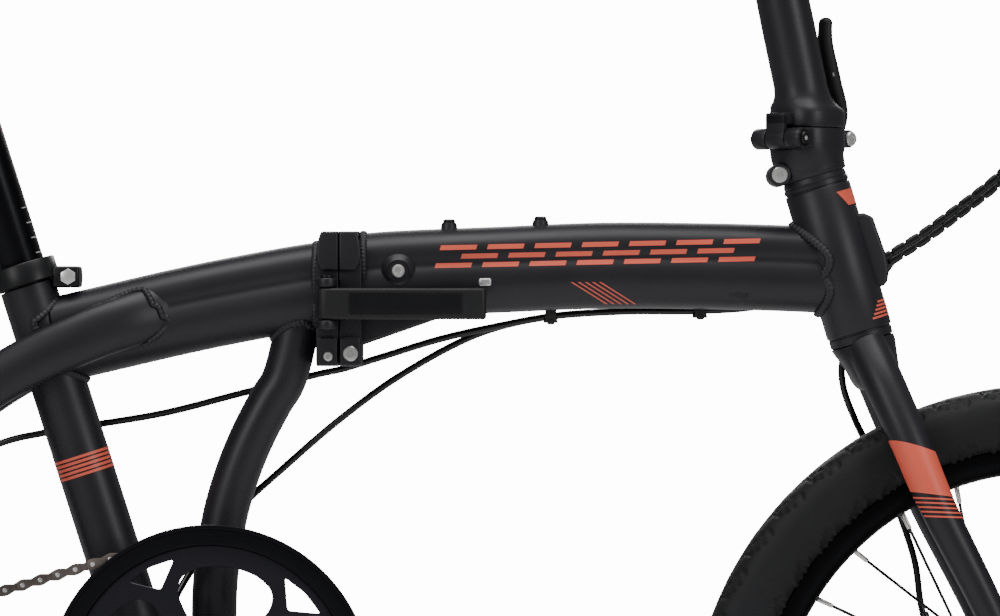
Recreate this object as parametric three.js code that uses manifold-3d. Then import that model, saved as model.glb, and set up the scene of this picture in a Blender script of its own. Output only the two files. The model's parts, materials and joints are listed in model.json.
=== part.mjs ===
// Folding bicycle with 20 inch wheels, a mid-frame hinge, a folding handlepost and disc brakes.
// Units are millimetres. +X is forward, +Y is the rider's left, +Z is up.
// The origin is on the ground, midway between the two axles.

import * as THREE from 'three';
import { mergeVertices } from 'three/addons/utils/BufferGeometryUtils.js';
import Module from 'manifold-3d';

const wasm = await Module();
wasm.setup();

// ---------- driving dimensions ----------

const GAP = 0.35;                 // clearance between pieces that touch
const WHEEL_R = 252.8;            // tyre crown radius, 20 x 2.00
const TYRE_HALF_WIDTH = 25;
const TREAD_HALF_FLAT = 9;        // flat of the crown that meets the road
const RIM_R = 209;                // rim flange
const RIM_INNER_R = 191;
const RIM_HALF_WIDTH = 13.5;
const WHEEL_SIDES = 36;
const SPOKES = 28;
const SPOKE_R = 1;
const FLANGE_R = 29;
const HALF_WHEELBASE = 509;
const FRONT_OLD = 100;            // hub widths between the dropouts
const REAR_OLD = 132;
const AXLE_R = 4.8;
const ROTOR_R = 80;

const BB_X = -79;                 // bottom bracket
const BB_Z = 296;
const BB_SHELL_R = 21;
const BB_SHELL_HALF = 34;
const BEARING_BORE_R = 17.4;      // bore of the shell round the bearing cartridge
const SPINDLE_R = 8.5;
const STRUT_R = 15.9;             // curved strut between the main tube and the shell
const CRANK_LENGTH = 165;
const CHAIN_PITCH = 12.7;
const CHAIN_Y = -48.2;            // chain plane
const CHAIN_HALF_HEIGHT = 4;
const CHAIN_HALF_WIDTH = 2.6;
const RING_TEETH = 52;
const COG_TEETH = 12;
const PULLEY_TEETH = 11;
const GUARD_R = 114;
const PEDAL_Y = 130;              // middle of each pedal
const PEDAL_SHAFT_R = 6;

const HINGE_X = 9.9;              // split plane of the frame hinge
const HINGE_PIN_Y = 35;
const HINGE_PIN_R = 3.5;
const PLATE_DEPTH = 16;           // each hinge plate along X
const PLATE_HALF_WIDTH = 30;
const PLATE_BOTTOM = 519;
const PLATE_TOP = 614;

const SEAT_TUBE_R = 19.85;
const SEAT_POST_R = 16.95;
const SEAT_TUBE_POINT = [-176.3, 466.9];
const SEAT_TUBE_LEAN = 17.7;      // degrees back from vertical
const SEAT_COLLAR_Z = 583;
const SADDLE_CLAMP_Z = 888;

const HEAD_TOP = [347.4, 643.6];  // head tube ends, X and Z
const HEAD_BOTTOM = [376.7, 544];
const HEAD_R = 23.5;
const STEERER_R = 14.2;

const POST_SEAM_Z = 687;          // parting plane of the handlepost hinge
const POST_PIN = [320, -20, 679];
const POST_BLOCK_X = 340;         // middle of the handlepost hinge block
const POST_BLOCK_HALF = 24;
const POST_LATCH_ACROSS = 31;     // latch pivot, measured from the block's centre
const POST_LATCH_Z = 680;
const POST_R = 19;
const BAR = [272, 1025];          // handlebar centre, X and Z
const BAR_HALF = 280;
const BAR_R = 12.7;

const STAND_X = -190;             // kickstand pivot
const STAND_Y = 50;
const STAND_Z = 250;

// ---------- materials ----------

const paint = () => new THREE.MeshStandardMaterial({ color: 0x232126, roughness: 0.55, metalness: 0.1 });
const blackAlloy = () => new THREE.MeshStandardMaterial({ color: 0x1b1a1d, roughness: 0.4, metalness: 0.5 });
const silver = () => new THREE.MeshStandardMaterial({ color: 0xb9bcc0, roughness: 0.3, metalness: 0.9 });
const rubber = () => new THREE.MeshStandardMaterial({ color: 0x1a1a1c, roughness: 0.9, metalness: 0 });
const plastic = () => new THREE.MeshStandardMaterial({ color: 0x202022, roughness: 0.6, metalness: 0 });

// ---------- geometry helpers ----------

const RAD = Math.PI / 180;
const v = (x, y, z) => new THREE.Vector3(x, y, z);
const polar = (radius, degrees) => new THREE.Vector2(
  radius * Math.cos(degrees * RAD),
  radius * Math.sin(degrees * RAD),
);

function solid(geometry) {
  if (geometry instanceof wasm.Manifold) return geometry;
  const bare = geometry.clone();
  bare.deleteAttribute('normal');
  bare.deleteAttribute('uv');
  const merged = mergeVertices(bare, 1e-4);
  const vertProperties = new Float32Array(merged.attributes.position.array);
  const triVerts = new Uint32Array(merged.index.array);
  const body = new wasm.Manifold(new wasm.Mesh({ numProp: 3, vertProperties, triVerts }));
  if (body.volume() > 0) return body;
  const flipped = triVerts.map((_, i, all) => all[i - (i % 3) + (2 - (i % 3))]);
  return new wasm.Manifold(new wasm.Mesh({ numProp: 3, vertProperties, triVerts: flipped }));
}

const join = (first, ...others) => others.reduce((sum, next) => sum.add(solid(next)), solid(first));
const cut = (first, ...tools) => tools.reduce((rest, tool) => rest.subtract(solid(tool)), solid(first));

function toGeometry(body) {
  const mesh = body.getMesh();
  const geometry = new THREE.BufferGeometry();
  geometry.setAttribute('position', new THREE.Float32BufferAttribute(mesh.vertProperties, 3));
  geometry.setIndex(Array.from(mesh.triVerts));
  geometry.computeVertexNormals();
  return geometry;
}

const bike = new THREE.Group();

function part(name, shape, material) {
  const mesh = new THREE.Mesh(toGeometry(solid(shape)), material);
  mesh.name = name;
  bike.add(mesh);
}

function rod(from, to, radius, sides = 12, endRadius = radius) {
  const axis = to.clone().sub(from);
  const geometry = new THREE.CylinderGeometry(endRadius, radius, axis.length(), sides);
  geometry.applyQuaternion(new THREE.Quaternion().setFromUnitVectors(v(0, 1, 0), axis.normalize()));
  const middle = from.clone().add(to).multiplyScalar(0.5);
  return geometry.translate(middle.x, middle.y, middle.z);
}

function box(x0, x1, y0, y1, z0, z1) {
  const geometry = new THREE.BoxGeometry(x1 - x0, y1 - y0, z1 - z0);
  return geometry.translate((x0 + x1) / 2, (y0 + y1) / 2, (z0 + z1) / 2);
}

// A closed outline of X,Z points given thickness along Y.
function plate(outline, yMin, yMax, holes = []) {
  const shape = new THREE.Shape(outline);
  shape.holes = holes.map((points) => new THREE.Path(points));
  const geometry = new THREE.ExtrudeGeometry(shape, { depth: yMax - yMin, bevelEnabled: false });
  return geometry.rotateX(Math.PI / 2).translate(0, yMax, 0);
}

// A closed outline of X,Y points given height along Z.
function slab(outline, zMin, zMax) {
  const shape = new THREE.Shape(outline);
  const geometry = new THREE.ExtrudeGeometry(shape, { depth: zMax - zMin, bevelEnabled: false });
  return geometry.translate(0, 0, zMin);
}

function circle(centreX, centreZ, radius, sides = 16) {
  const centre = new THREE.Vector2(centreX, centreZ);
  return Array.from({ length: sides }, (_, i) => polar(radius, (360 * i) / sides).add(centre));
}

// The outline round two circles, for links, tabs and levers.
function link(x0, z0, r0, x1, z1, r1, steps = 5) {
  const heading = Math.atan2(z1 - z0, x1 - x0) / RAD;
  const side = Math.acos((r0 - r1) / Math.hypot(x1 - x0, z1 - z0)) / RAD;
  const start = new THREE.Vector2(x0, z0);
  const end = new THREE.Vector2(x1, z1);
  const outline = [];
  for (let i = 0; i <= steps; i += 1) {
    outline.push(polar(r0, heading + side + ((360 - 2 * side) * i) / steps).add(start));
  }
  for (let i = 0; i <= steps; i += 1) {
    outline.push(polar(r1, heading - side + (2 * side * i) / steps).add(end));
  }
  return outline;
}

function oval(halfWidth, halfHeight, sides = 10) {
  const points = Array.from({ length: sides }, (_, i) => {
    const angle = (2 * Math.PI * i) / sides;
    return new THREE.Vector2(halfWidth * Math.cos(angle), halfHeight * Math.sin(angle));
  });
  return new THREE.Shape(points);
}

// A section swept along a smooth curve, with an optional scale from 0 to 1 along its length.
function sweep(points, section, steps, scaleAt = null) {
  const curve = new THREE.CatmullRomCurve3(points, false, 'centripetal');
  const geometry = new THREE.ExtrudeGeometry(section, { steps, extrudePath: curve, bevelEnabled: false });
  if (scaleAt === null) return geometry;
  const centres = curve.getSpacedPoints(steps);
  const tangents = centres.map((_, i) => curve.getTangentAt(i / steps));
  const position = geometry.attributes.position;
  for (let i = 0; i < position.count; i += 1) {
    const point = new THREE.Vector3().fromBufferAttribute(position, i);
    const nearness = centres.map((centre, k) => {
      const offset = point.clone().sub(centre);
      return Math.abs(offset.dot(tangents[k])) * 1000 + offset.length();
    });
    const ring = nearness.indexOf(Math.min(...nearness));
    const offset = point.sub(centres[ring]).multiplyScalar(scaleAt(ring / steps));
    offset.add(centres[ring]);
    position.setXYZ(i, offset.x, offset.y, offset.z);
  }
  return geometry;
}

// A ring or disc turned about a line parallel to Y. Profile points are radius and Y.
function turned(profile, sides, x, z) {
  const points = profile.map(([radius, y]) => new THREE.Vector2(radius, y));
  const geometry = new THREE.LatheGeometry(points, sides);
  geometry.rotateY(Math.PI / sides);
  return geometry.translate(x, 0, z);
}

const mirrorY = (points) => points.map((point) => v(point.x, -point.y, point.z));
const inPlane = (pairs, y = 0) => pairs.map(([x, z]) => v(x, y, z));

// ---------- frame tubes, each with an allowance so that a neighbour can be cut to fit ----------

// Two lobes, one above the other, with a shallow crease between them.
function twinLobe(grow = 0) {
  const arc = (angles, halfWidth, halfHeight, middle) => angles.map((angle) => [
    (halfWidth + grow) * Math.sin(angle * RAD),
    middle + (halfHeight + grow) * Math.cos(angle * RAD),
  ]);
  const upper = arc([0, 30, 60, 90, 114], 22, 22.5, 8);
  const lower = arc([62, 90, 120, 150, 180], 19.5, 17.5, -13);
  const half = [...upper, ...lower];
  const other = half.slice(1, -1).reverse().map(([y, z]) => [-y, z]);
  // The sweep's section axes point to -Y and -Z on a path that runs along +X.
  return new THREE.Shape([...half, ...other].map(([y, z]) => new THREE.Vector2(-y, -z)));
}

const FRONT_TUBE_PATH = inPlane([
  [HINGE_X, 580],
  [38, 583.3],
  [123, 587.1],
  [194, 589.9],
  [264, 589.6],
  [321, 588.2],
  [356, 586.5],
]);

const REAR_TUBE_PATH = inPlane([
  [-189, 537.5],
  [-160, 544.3],
  [-89, 560.6],
  [-18, 574],
  [HINGE_X, 578],
]);

// The space between the two main tubes, which the hinge plates fill.
const plateSpace = box(HINGE_X - PLATE_DEPTH - GAP, HINGE_X + PLATE_DEPTH + GAP, -60, 60, 490, 640);
const frontTube = (grow) => solid(sweep(FRONT_TUBE_PATH, twinLobe(grow), 7));
const rearTube = (grow) => solid(sweep(REAR_TUBE_PATH, twinLobe(grow), 5));

const leanTan = Math.tan(SEAT_TUBE_LEAN * RAD);
const seatAxis = (z) => v(SEAT_TUBE_POINT[0] - (z - SEAT_TUBE_POINT[1]) * leanTan, 0, z);
const headAxis = (z) => {
  const t = (z - HEAD_BOTTOM[1]) / (HEAD_TOP[1] - HEAD_BOTTOM[1]);
  return v(HEAD_BOTTOM[0] + (HEAD_TOP[0] - HEAD_BOTTOM[0]) * t, 0, z);
};

const seatTubeOuter = (grow) => solid(rod(seatAxis(264), seatAxis(575), SEAT_TUBE_R + grow, 20));
const headTubeOuter = (grow) => solid(rod(
  headAxis(HEAD_BOTTOM[1]),
  headAxis(HEAD_TOP[1]),
  HEAD_R + grow,
  20,
));
const bracketShell = (grow) => solid(rod(
  v(BB_X, -BB_SHELL_HALF, BB_Z),
  v(BB_X, BB_SHELL_HALF, BB_Z),
  BB_SHELL_R + grow,
  18,
));

// One hinge plate: an upright block with its corners cut off.
function hingeBlock(xMin, xMax) {
  const corner = 14;
  const low = PLATE_BOTTOM;
  const high = PLATE_TOP;
  const wide = PLATE_HALF_WIDTH;
  const pinSide = wide - 4;
  const outline = [
    [wide - corner, low],
    [pinSide, low + corner],
    [pinSide, high - corner],
    [wide - corner, high],
    [-wide + corner, high],
    [-wide, high - corner],
    [-wide, low + corner],
    [-wide + corner, low],
  ];
  const shape = new THREE.Shape(outline.map(([y, z]) => new THREE.Vector2(y, z)));
  const geometry = new THREE.ExtrudeGeometry(shape, { depth: xMax - xMin, bevelEnabled: false });
  // Local X, Y and Z become Y, Z and X.
  const turn = new THREE.Matrix4().makeBasis(v(0, 1, 0), v(0, 0, 1), v(1, 0, 0));
  geometry.applyMatrix4(turn);
  return geometry.translate(xMin, 0, 0);
}

const KNUCKLE_R = 8;
const KNUCKLE_LOW = 545;
const KNUCKLE_HIGH = 588;

function knuckle(zMin, zMax, towards) {
  const barrel = rod(v(HINGE_X, HINGE_PIN_Y, zMin), v(HINGE_X, HINGE_PIN_Y, zMax), KNUCKLE_R, 16);
  const x0 = Math.min(HINGE_X, HINGE_X + towards * 8);
  const web = box(x0, x0 + 8, PLATE_HALF_WIDTH - 8, HINGE_PIN_Y, zMin, zMax);
  return join(barrel, web);
}

// An upright rod on the axis of the frame hinge.
const onHingePin = (low, high, radius, sides = 16) => rod(
  v(HINGE_X, HINGE_PIN_Y, low),
  v(HINGE_X, HINGE_PIN_Y, high),
  radius,
  sides,
);

function rearHingePlate() {
  const block = hingeBlock(HINGE_X - PLATE_DEPTH, HINGE_X - GAP / 2);
  const room = onHingePin(KNUCKLE_LOW - GAP, KNUCKLE_HIGH + GAP, KNUCKLE_R + 1);
  const low = knuckle(PLATE_BOTTOM + 6, KNUCKLE_LOW - GAP, -1);
  const high = knuckle(KNUCKLE_HIGH + GAP, PLATE_TOP - 6, -1);
  // The pin is pressed into the two rear knuckles.
  return join(cut(block, room), low, high, hingePin(), latchBracket());
}

function frontHingePlate() {
  const block = hingeBlock(HINGE_X + GAP / 2, HINGE_X + PLATE_DEPTH);
  const lowRoom = onHingePin(PLATE_BOTTOM - 1, KNUCKLE_LOW, KNUCKLE_R + 1, 12);
  const highRoom = onHingePin(KNUCKLE_HIGH, PLATE_TOP + 1, KNUCKLE_R + 1, 12);
  const middle = knuckle(KNUCKLE_LOW, KNUCKLE_HIGH, 1);
  const bore = onHingePin(PLATE_BOTTOM - 10, PLATE_TOP + 10, HINGE_PIN_R + GAP);
  return cut(join(cut(block, lowRoom, highRoom), middle), bore);
}

function hingePin() {
  const low = PLATE_BOTTOM + 2;
  const high = PLATE_TOP - 2;
  const shaft = onHingePin(low, high, HINGE_PIN_R);
  const lowHead = onHingePin(low, low + 5, 6.5, 12);
  const topHead = onHingePin(high - 5, high, 6.5, 12);
  return join(shaft, topHead, lowHead);
}

function buildRearFrame() {
  part('rear_main_tube', cut(rearTube(0), seatTubeOuter(GAP), plateSpace), paint());
  part('rear_hinge_plate', rearHingePlate(), paint());

  const bore = rod(seatAxis(200), seatAxis(600), SEAT_POST_R + GAP, 18);
  part('seat_tube', cut(seatTubeOuter(0), bracketShell(GAP), bore), paint());

  const strutPath = inPlane([
    [-16, 556],
    [-30, 509],
    [-38.5, 495],
    [-53, 467],
    [-64, 439],
    [-72, 410],
    [-78, 368],
    [-79, 340],
    [BB_X, BB_Z + 10],
  ]);
  const strut = sweep(strutPath, oval(STRUT_R, STRUT_R, 14), 9);
  const bearingBore = rod(v(BB_X, -40, BB_Z), v(BB_X, 40, BB_Z), BEARING_BORE_R, 18);
  const fitted = join(cut(strut, rearTube(GAP), plateSpace), bracketShell(0));
  part('curved_strut', cut(fitted, bearingBore), paint());
  const spindleBore = rod(v(BB_X, -40, BB_Z), v(BB_X, 40, BB_Z), SPINDLE_R + GAP, 12);
  const cartridge = rod(v(BB_X, -36, BB_Z), v(BB_X, 36, BB_Z), BEARING_BORE_R - GAP, 18);
  part('bottom_bracket_cartridge', cut(cartridge, spindleBore), blackAlloy());

  buildStays();
  buildSeatClamp();
}

const STAY_INSET = 4;             // half thickness of a dropout plate and the stay end on it
const STAY_HALF_WIDTH = 11;       // oval seat stay where it leaves the main tube
const STAY_HALF_HEIGHT = 19.5;
const CHAIN_STAY_R = 10;
const DROPOUT_R = 15;
const REAR_TAB = [-484, 278];     // X and Z of the upper end of a rear dropout plate
const HANGER = [-512, 222];       // X and Z of the derailleur's mount

function buildStays() {
  const half = REAR_OLD / 2;
  const stayPath = [
    v(-120, 21, 557),
    v(-165, 26, 541),
    v(-230, 31, 508.6),
    v(-330, 41, 425),
    v(-440, 57, 318),
    v(-490, half + STAY_INSET, 272),
  ];
  const chainPath = [
    v(-90, 23, 294.5),
    v(-180, 32.5, 286),
    v(-290, 40.5, 275),
    v(-430, 57, 261),
    v(-486, half + STAY_INSET, 255.5),
  ];
  const taper = (t) => 1 - 0.42 * t;
  const axleHole = circle(-HALF_WHEELBASE, WHEEL_R, AXLE_R + GAP, 12);
  for (const [side, sign] of [['left', 1], ['right', -1]]) {
    const seatPath = sign > 0 ? stayPath : mirrorY(stayPath);
    // The oval's long side stands upright, because the section's first axis follows -Y.
    const stay = sweep(seatPath, oval(STAY_HALF_WIDTH, STAY_HALF_HEIGHT), 8, taper);
    const yMin = sign > 0 ? half + GAP : -half - 2 * STAY_INSET;
    const yMax = sign > 0 ? half + 2 * STAY_INSET : -half - GAP;
    const tab = link(-HALF_WHEELBASE, WHEEL_R, DROPOUT_R, ...REAR_TAB, 11);
    let dropout = solid(plate(tab, yMin, yMax));
    if (sign < 0) {
      const hanger = link(-HALF_WHEELBASE, WHEEL_R, DROPOUT_R, ...HANGER, 8);
      dropout = dropout.add(solid(plate(hanger, yMin, yMax)));
    }
    const welded = cut(join(stay, dropout), plate(axleHole, -100, 100));
    part(`${side}_seat_stay`, cut(welded, seatTubeOuter(GAP), rearTube(GAP)), paint());

    const lowPath = sign > 0 ? chainPath : mirrorY(chainPath);
    const chainStay = sweep(lowPath, oval(CHAIN_STAY_R, CHAIN_STAY_R), 7);
    const tabRoom = link(-HALF_WHEELBASE, WHEEL_R, DROPOUT_R + GAP, ...REAR_TAB, 11 + GAP);
    const dropoutRoom = plate(tabRoom, -100, 100);
    const stayRoom = sweep(seatPath, oval(STAY_HALF_WIDTH + GAP, STAY_HALF_HEIGHT + GAP), 8, taper);
    const fitted = cut(chainStay, bracketShell(GAP), seatTubeOuter(GAP), dropoutRoom, stayRoom);
    const bracket = box(STAND_X - 14, STAND_X + 14, 30, STAND_Y - 11 - GAP, STAND_Z - 12, STAND_Z + 34);
    part(`${side}_chain_stay`, sign > 0 ? join(fitted, bracket) : fitted, paint());
  }
}

const SEAT_BOLT = [-181, 582];    // X and Z of the clamp bolt
const SEAT_LUG_HALF = 12;
const SEAT_CAM_R = 7;
const SEAT_CAM_Y = 24;            // upright axis of the cam that the clamp lever turns on

function buildSeatClamp() {
  const along = (offset) => seatAxis(SEAT_COLLAR_Z + offset);
  const [x, z] = SEAT_BOLT;
  const collar = rod(along(-7.5), along(8), SEAT_TUBE_R + 4.5, 20);
  const lug = box(x - 12, x + 8, -SEAT_LUG_HALF, SEAT_CAM_Y - SEAT_CAM_R - GAP, z - 8, z + 8);
  const nut = rod(v(x, -SEAT_LUG_HALF - 5, z), v(x, -SEAT_LUG_HALF + 1, z), 6, 6);
  const bore = rod(along(-40), along(40), SEAT_POST_R + GAP, 18);
  part('seat_clamp', cut(join(collar, lug, nut), bore, seatTubeOuter(GAP)), blackAlloy());

  const lever = slab(link(x, SEAT_CAM_Y, SEAT_CAM_R, x - 55, SEAT_CAM_Y + 14, 4.5), z - 6, z + 6);
  part('seat_clamp_lever', lever, blackAlloy());
}

// ---------- front frame ----------

function buildFrontFrame() {
  const gusset = plate([
    new THREE.Vector2(20, 571),
    new THREE.Vector2(20, 535),
    new THREE.Vector2(40, 537),
    new THREE.Vector2(84, 560),
    new THREE.Vector2(84, 571),
  ], -15, 15);
  const bosses = [[87, 620], [151.6, 622]].map(([x, z]) => rod(v(x, 0, z - 14), v(x, 0, z + 3), 6, 12));
  const tube = join(frontTube(0), gusset, ...bosses);
  part('front_main_tube', cut(tube, headTubeOuter(GAP), plateSpace), paint());
  part('front_hinge_plate', frontHingePlate(), paint());

  const boss = sweep([v(371, 0, 620), v(378, 0, 600), v(385, 0, 580)], oval(9, 9, 10), 3);
  const upperCup = rod(headAxis(HEAD_TOP[1] - 1), headAxis(HEAD_TOP[1] + 9), HEAD_R + 0.5, 20, HEAD_R - 2);
  const lowerCup = rod(headAxis(HEAD_BOTTOM[1] - 8), headAxis(HEAD_BOTTOM[1] + 1), HEAD_R - 1, 20);
  const bore = rod(headAxis(500), headAxis(700), STEERER_R + 2 * GAP, 14);
  part('head_tube', cut(join(headTubeOuter(0), boss, upperCup, lowerCup), bore), paint());
}

const LATCH_PIVOT = [2, -41];     // X and Y of the upright pin that the frame latch turns on
const LATCH_LOW = 552;
const LATCH_HIGH = 574;

function latchBracket() {
  const [x, y] = LATCH_PIVOT;
  const pin = rod(v(x, y, LATCH_LOW - 7), v(x, y, LATCH_HIGH + 7), 3, 12);
  const spans = [[LATCH_LOW - 7, LATCH_LOW - GAP], [LATCH_HIGH + GAP, LATCH_HIGH + 7]];
  const ears = spans.map(([low, high]) => join(
    rod(v(x, y, low), v(x, y, high), 7, 14),
    box(x - 7, x + 7, y, -PLATE_HALF_WIDTH + 3, low, high),
  ));
  return join(ears[0], ears[1], pin);
}

function buildFrameLatch() {
  const [x, y] = LATCH_PIVOT;
  const outline = link(x, y, 7, 110, -38.5, 3.5);
  const bore = rod(v(x, y, LATCH_LOW - 9), v(x, y, LATCH_HIGH + 9), 3 + GAP, 12);
  part('frame_latch_lever', cut(slab(outline, LATCH_LOW, LATCH_HIGH), bore), blackAlloy());
}

// ---------- steering: fork, stem base and handlepost ----------

const FRONT_TAB = [499, 274];     // X and Z of the upper end of a fork dropout plate

function buildFork() {
  const legPath = [
    v(384, 14, 527),
    v(394, 30, 503),
    v(410, 43, 465),
    v(426.5, 47.5, 424.5),
    v(461.5, 51.5, 354),
    v(499, 55, 273),
  ];
  const taper = (t) => 1 - 0.36 * t;
  const leg = sweep(legPath, oval(15, 15), 7, taper);
  const otherLeg = sweep(mirrorY(legPath), oval(15, 15), 7, taper);
  const steerer = rod(headAxis(525), headAxis(682), STEERER_R, 14);
  const crown = rod(headAxis(504), headAxis(HEAD_BOTTOM[1] - 8 - GAP), 17, 14, HEAD_R - 1.5);
  const half = FRONT_OLD / 2;
  const tab = link(HALF_WHEELBASE, WHEEL_R, 13, ...FRONT_TAB, 9);
  const tabs = [plate(tab, half + GAP, half + 7), plate(tab, -half - 7, -half - GAP)];
  const axleHole = rod(v(HALF_WHEELBASE, -80, WHEEL_R), v(HALF_WHEELBASE, 80, WHEEL_R), AXLE_R + GAP, 12);
  const welded = join(leg, otherLeg, steerer, crown, ...tabs);
  const hubRoom = rod(
    v(HALF_WHEELBASE, -half - GAP, WHEEL_R),
    v(HALF_WHEELBASE, half + GAP, WHEEL_R),
    40,
    16,
  );
  part('fork', cut(welded, axleHole, hubRoom), paint());
}

const diagonal = Math.SQRT1_2;
// In the hinge block's own plan, "along" follows the pin and "across" points to the latch.
const plan = (along, across) => new THREE.Vector2(
  POST_BLOCK_X + (along + across) * diagonal,
  (across - along) * diagonal,
);
const onBlock = (along, across, z) => {
  const point = plan(along, across);
  return v(point.x, point.y, z);
};

function blockOutline(halfAlong, halfAcross, corner) {
  const a = halfAlong;
  const c = halfAcross;
  const k = corner;
  const fore = [[a, c - k], [a - k, c], [k - a, c], [-a, c - k]];
  const aft = [[-a, k - c], [k - a, -c], [a - k, -c], [a, k - c]];
  const corners = [...fore, ...aft];
  return corners.map(([along, across]) => plan(along, across)).reverse();
}

const latchAxis = (along) => onBlock(along, POST_LATCH_ACROSS, POST_LATCH_Z);
const PIN_ACROSS = -28.3;
const PIN_Z = POST_PIN[2];
const POST_KNUCKLE_R = 7.5;

// A rod on the handlepost hinge's pin axis.
const onPostPin = (from, to, radius, sides = 12) => rod(
  onBlock(from, PIN_ACROSS, PIN_Z),
  onBlock(to, PIN_ACROSS, PIN_Z),
  radius,
  sides,
);

// A rectangle in the block's plan.
const planBox = (from, to, first, last) => [
  plan(from, first),
  plan(to, first),
  plan(to, last),
  plan(from, last),
];

function buildStemBase() {
  const sleeve = rod(headAxis(HEAD_TOP[1] + 9 + GAP), headAxis(677), HEAD_R - 1, 14);
  const flange = slab(blockOutline(POST_BLOCK_HALF, POST_BLOCK_HALF, 8), 668, POST_SEAM_Z + 3);
  const above = box(280, 400, -60, 60, POST_SEAM_Z - GAP / 2, 720);
  const clampLug = rod(v(321, -19, 655), v(321, 19, 655), 8, 12);
  const pinRoom = onPostPin(-40, 40, POST_KNUCKLE_R + 1);
  const ears = [[-22, -9], [9, 22]].map(([from, to]) => join(
    onPostPin(from, to, POST_KNUCKLE_R),
    slab(planBox(from, to, PIN_ACROSS, -20), 672, POST_SEAM_Z - 1),
  ));
  const latchRoom = rod(latchAxis(-6 - GAP), latchAxis(6 + GAP), 8, 12);
  const latchEars = [[-13, -6 - GAP], [6 + GAP, 13]].map(([from, to]) => join(
    rod(latchAxis(from), latchAxis(to), 6, 8),
    slab(planBox(from, to, 20, POST_LATCH_ACROSS), 676, 685),
  ));
  const latchPin = rod(latchAxis(-15), latchAxis(15), 3, 8);
  const bore = rod(headAxis(600), headAxis(683), STEERER_R + GAP, 14);
  // The hinge pin is pressed into the two ears, with a head proud of each.
  const pin = join(
    onPostPin(-26, 26, 3, 8),
    onPostPin(20, 26, 5.5, 8),
    onPostPin(-26, -20, 5.5, 8),
  );
  const body = cut(join(sleeve, flange, clampLug), above, pinRoom, latchRoom, bore);
  part('handlepost_base', join(body, ...latchEars, latchPin, ...ears, pin), paint());
}

function buildHandlepost() {
  const foot = v(339, 0, 699);
  const top = v(BAR[0] + 3, 0, BAR[1] - 16);
  const flange = slab(blockOutline(POST_BLOCK_HALF, POST_BLOCK_HALF, 8), POST_SEAM_Z - 3, 701);
  const neck = rod(v(340, 0, 700), v(334, 0, 712), 24, 16, POST_R);
  const pinRoom = onPostPin(-40, 40, POST_KNUCKLE_R + 1);
  const tongue = join(
    onPostPin(-9 + GAP, 9 - GAP, POST_KNUCKLE_R),
    slab(planBox(-8.6, 8.6, PIN_ACROSS - 7, PIN_ACROSS + 3), PIN_Z, 697),
    slab(planBox(-8.6, 8.6, PIN_ACROSS - 7, -20), 689, 697),
  );
  const pinBoreCut = onPostPin(-40, 40, 3 + GAP);
  const tube = rod(foot, top, POST_R, 16, 16);
  const head = rod(v(BAR[0], -24, BAR[1]), v(BAR[0], 24, BAR[1]), BAR_R + 6, 14);
  const barBore = rod(v(BAR[0], -40, BAR[1]), v(BAR[0], 40, BAR[1]), BAR_R + 2 * GAP, 14);
  const below = box(280, 400, -60, 60, 600, POST_SEAM_Z + GAP / 2);
  const body = join(cut(join(flange, neck, tube), pinRoom, below), head, tongue);
  part('handlepost', cut(body, barBore, pinBoreCut), paint());
}

// The shifter hangs below the bar on an arm from the right brake perch.
function shifterBody() {
  const [x, z] = BAR;
  return box(x - 22, x + 12, -146, -114, z - 30, z - 16);
}

const BAR_END_R = 11.1;
const BAR_BULGE_HALF = 58;        // half length of the thicker middle
const BAR_SWEEP = 18;             // how far back and up the ends sit
const BAR_RISE = 4;

// A point on the outer stretch of the bar, by its Y.
function onBar(y) {
  const share = (Math.abs(y) - BAR_BULGE_HALF) / (BAR_HALF - BAR_BULGE_HALF);
  return v(BAR[0] - BAR_SWEEP * share, y, BAR[1] + BAR_RISE * share);
}

function buildHandlebar() {
  const [x, z] = BAR;
  const middle = rod(v(x, -BAR_BULGE_HALF, z), v(x, BAR_BULGE_HALF, z), BAR_R, 12);
  const sides = [1, -1].map((sign) => rod(
    onBar(sign * (BAR_BULGE_HALF - 8)),
    onBar(sign * BAR_HALF),
    BAR_END_R,
    12,
  ));
  part('handlebar', join(middle, ...sides), blackAlloy());
  for (const [side, sign] of [['left', 1], ['right', -1]]) {
    const bore = rod(onBar(sign * BAR_BULGE_HALF), onBar(sign * (BAR_HALF + GAP)), BAR_END_R + GAP, 12);
    const grip = rod(onBar(sign * 158), onBar(sign * (BAR_HALF + 3)), 16.5, 12);
    part(`${side}_grip`, cut(grip, bore), rubber());
    const perch = join(
      rod(onBar(sign * 138), onBar(sign * 152), 16, 12),
      box(x - 6, x + 25, Math.min(sign * 138, sign * 150), Math.max(sign * 138, sign * 150), z - 19, z - 5),
    );
    const body = cut(perch, bore);
    part(`${side}_brake_perch`, sign > 0 ? body : join(body, shifterBody()), blackAlloy());
    const blade = sweep([
      v(x + 27, sign * 157, z - 12),
      v(x + 42, sign * 172, z - 16),
      v(x + 40, sign * 212, z - 20),
      v(x + 34, sign * 255, z - 22),
    ], oval(4, 6, 8), 6);
    const pivot = rod(v(x + 27, sign * 157, z - 19), v(x + 27, sign * 157, z - 5), 5, 10);
    part(`${side}_brake_lever`, join(blade, pivot), blackAlloy());
  }
  part('shift_lever', slab(link(x - 4, -124, 6, x - 34, -146, 4), z - 35, z - 30 - GAP), plastic());
}

function buildPostLatch() {
  const lever = sweep([
    onBlock(0, POST_LATCH_ACROSS, 682),
    onBlock(0, 35, 698),
    onBlock(0, 27, 721),
    onBlock(0, 19.5, 748),
    onBlock(0, 20, 766),
  ], oval(5.6, 5, 8), 7);
  const barrel = rod(latchAxis(-6), latchAxis(6), 7, 12);
  const bore = rod(latchAxis(-20), latchAxis(20), 3 + GAP, 8);
  part('handlepost_latch_lever', cut(join(lever, barrel), bore), blackAlloy());
}

// ---------- wheels ----------

const vertexRadius = (flatRadius) => flatRadius / Math.cos(Math.PI / WHEEL_SIDES);

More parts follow.
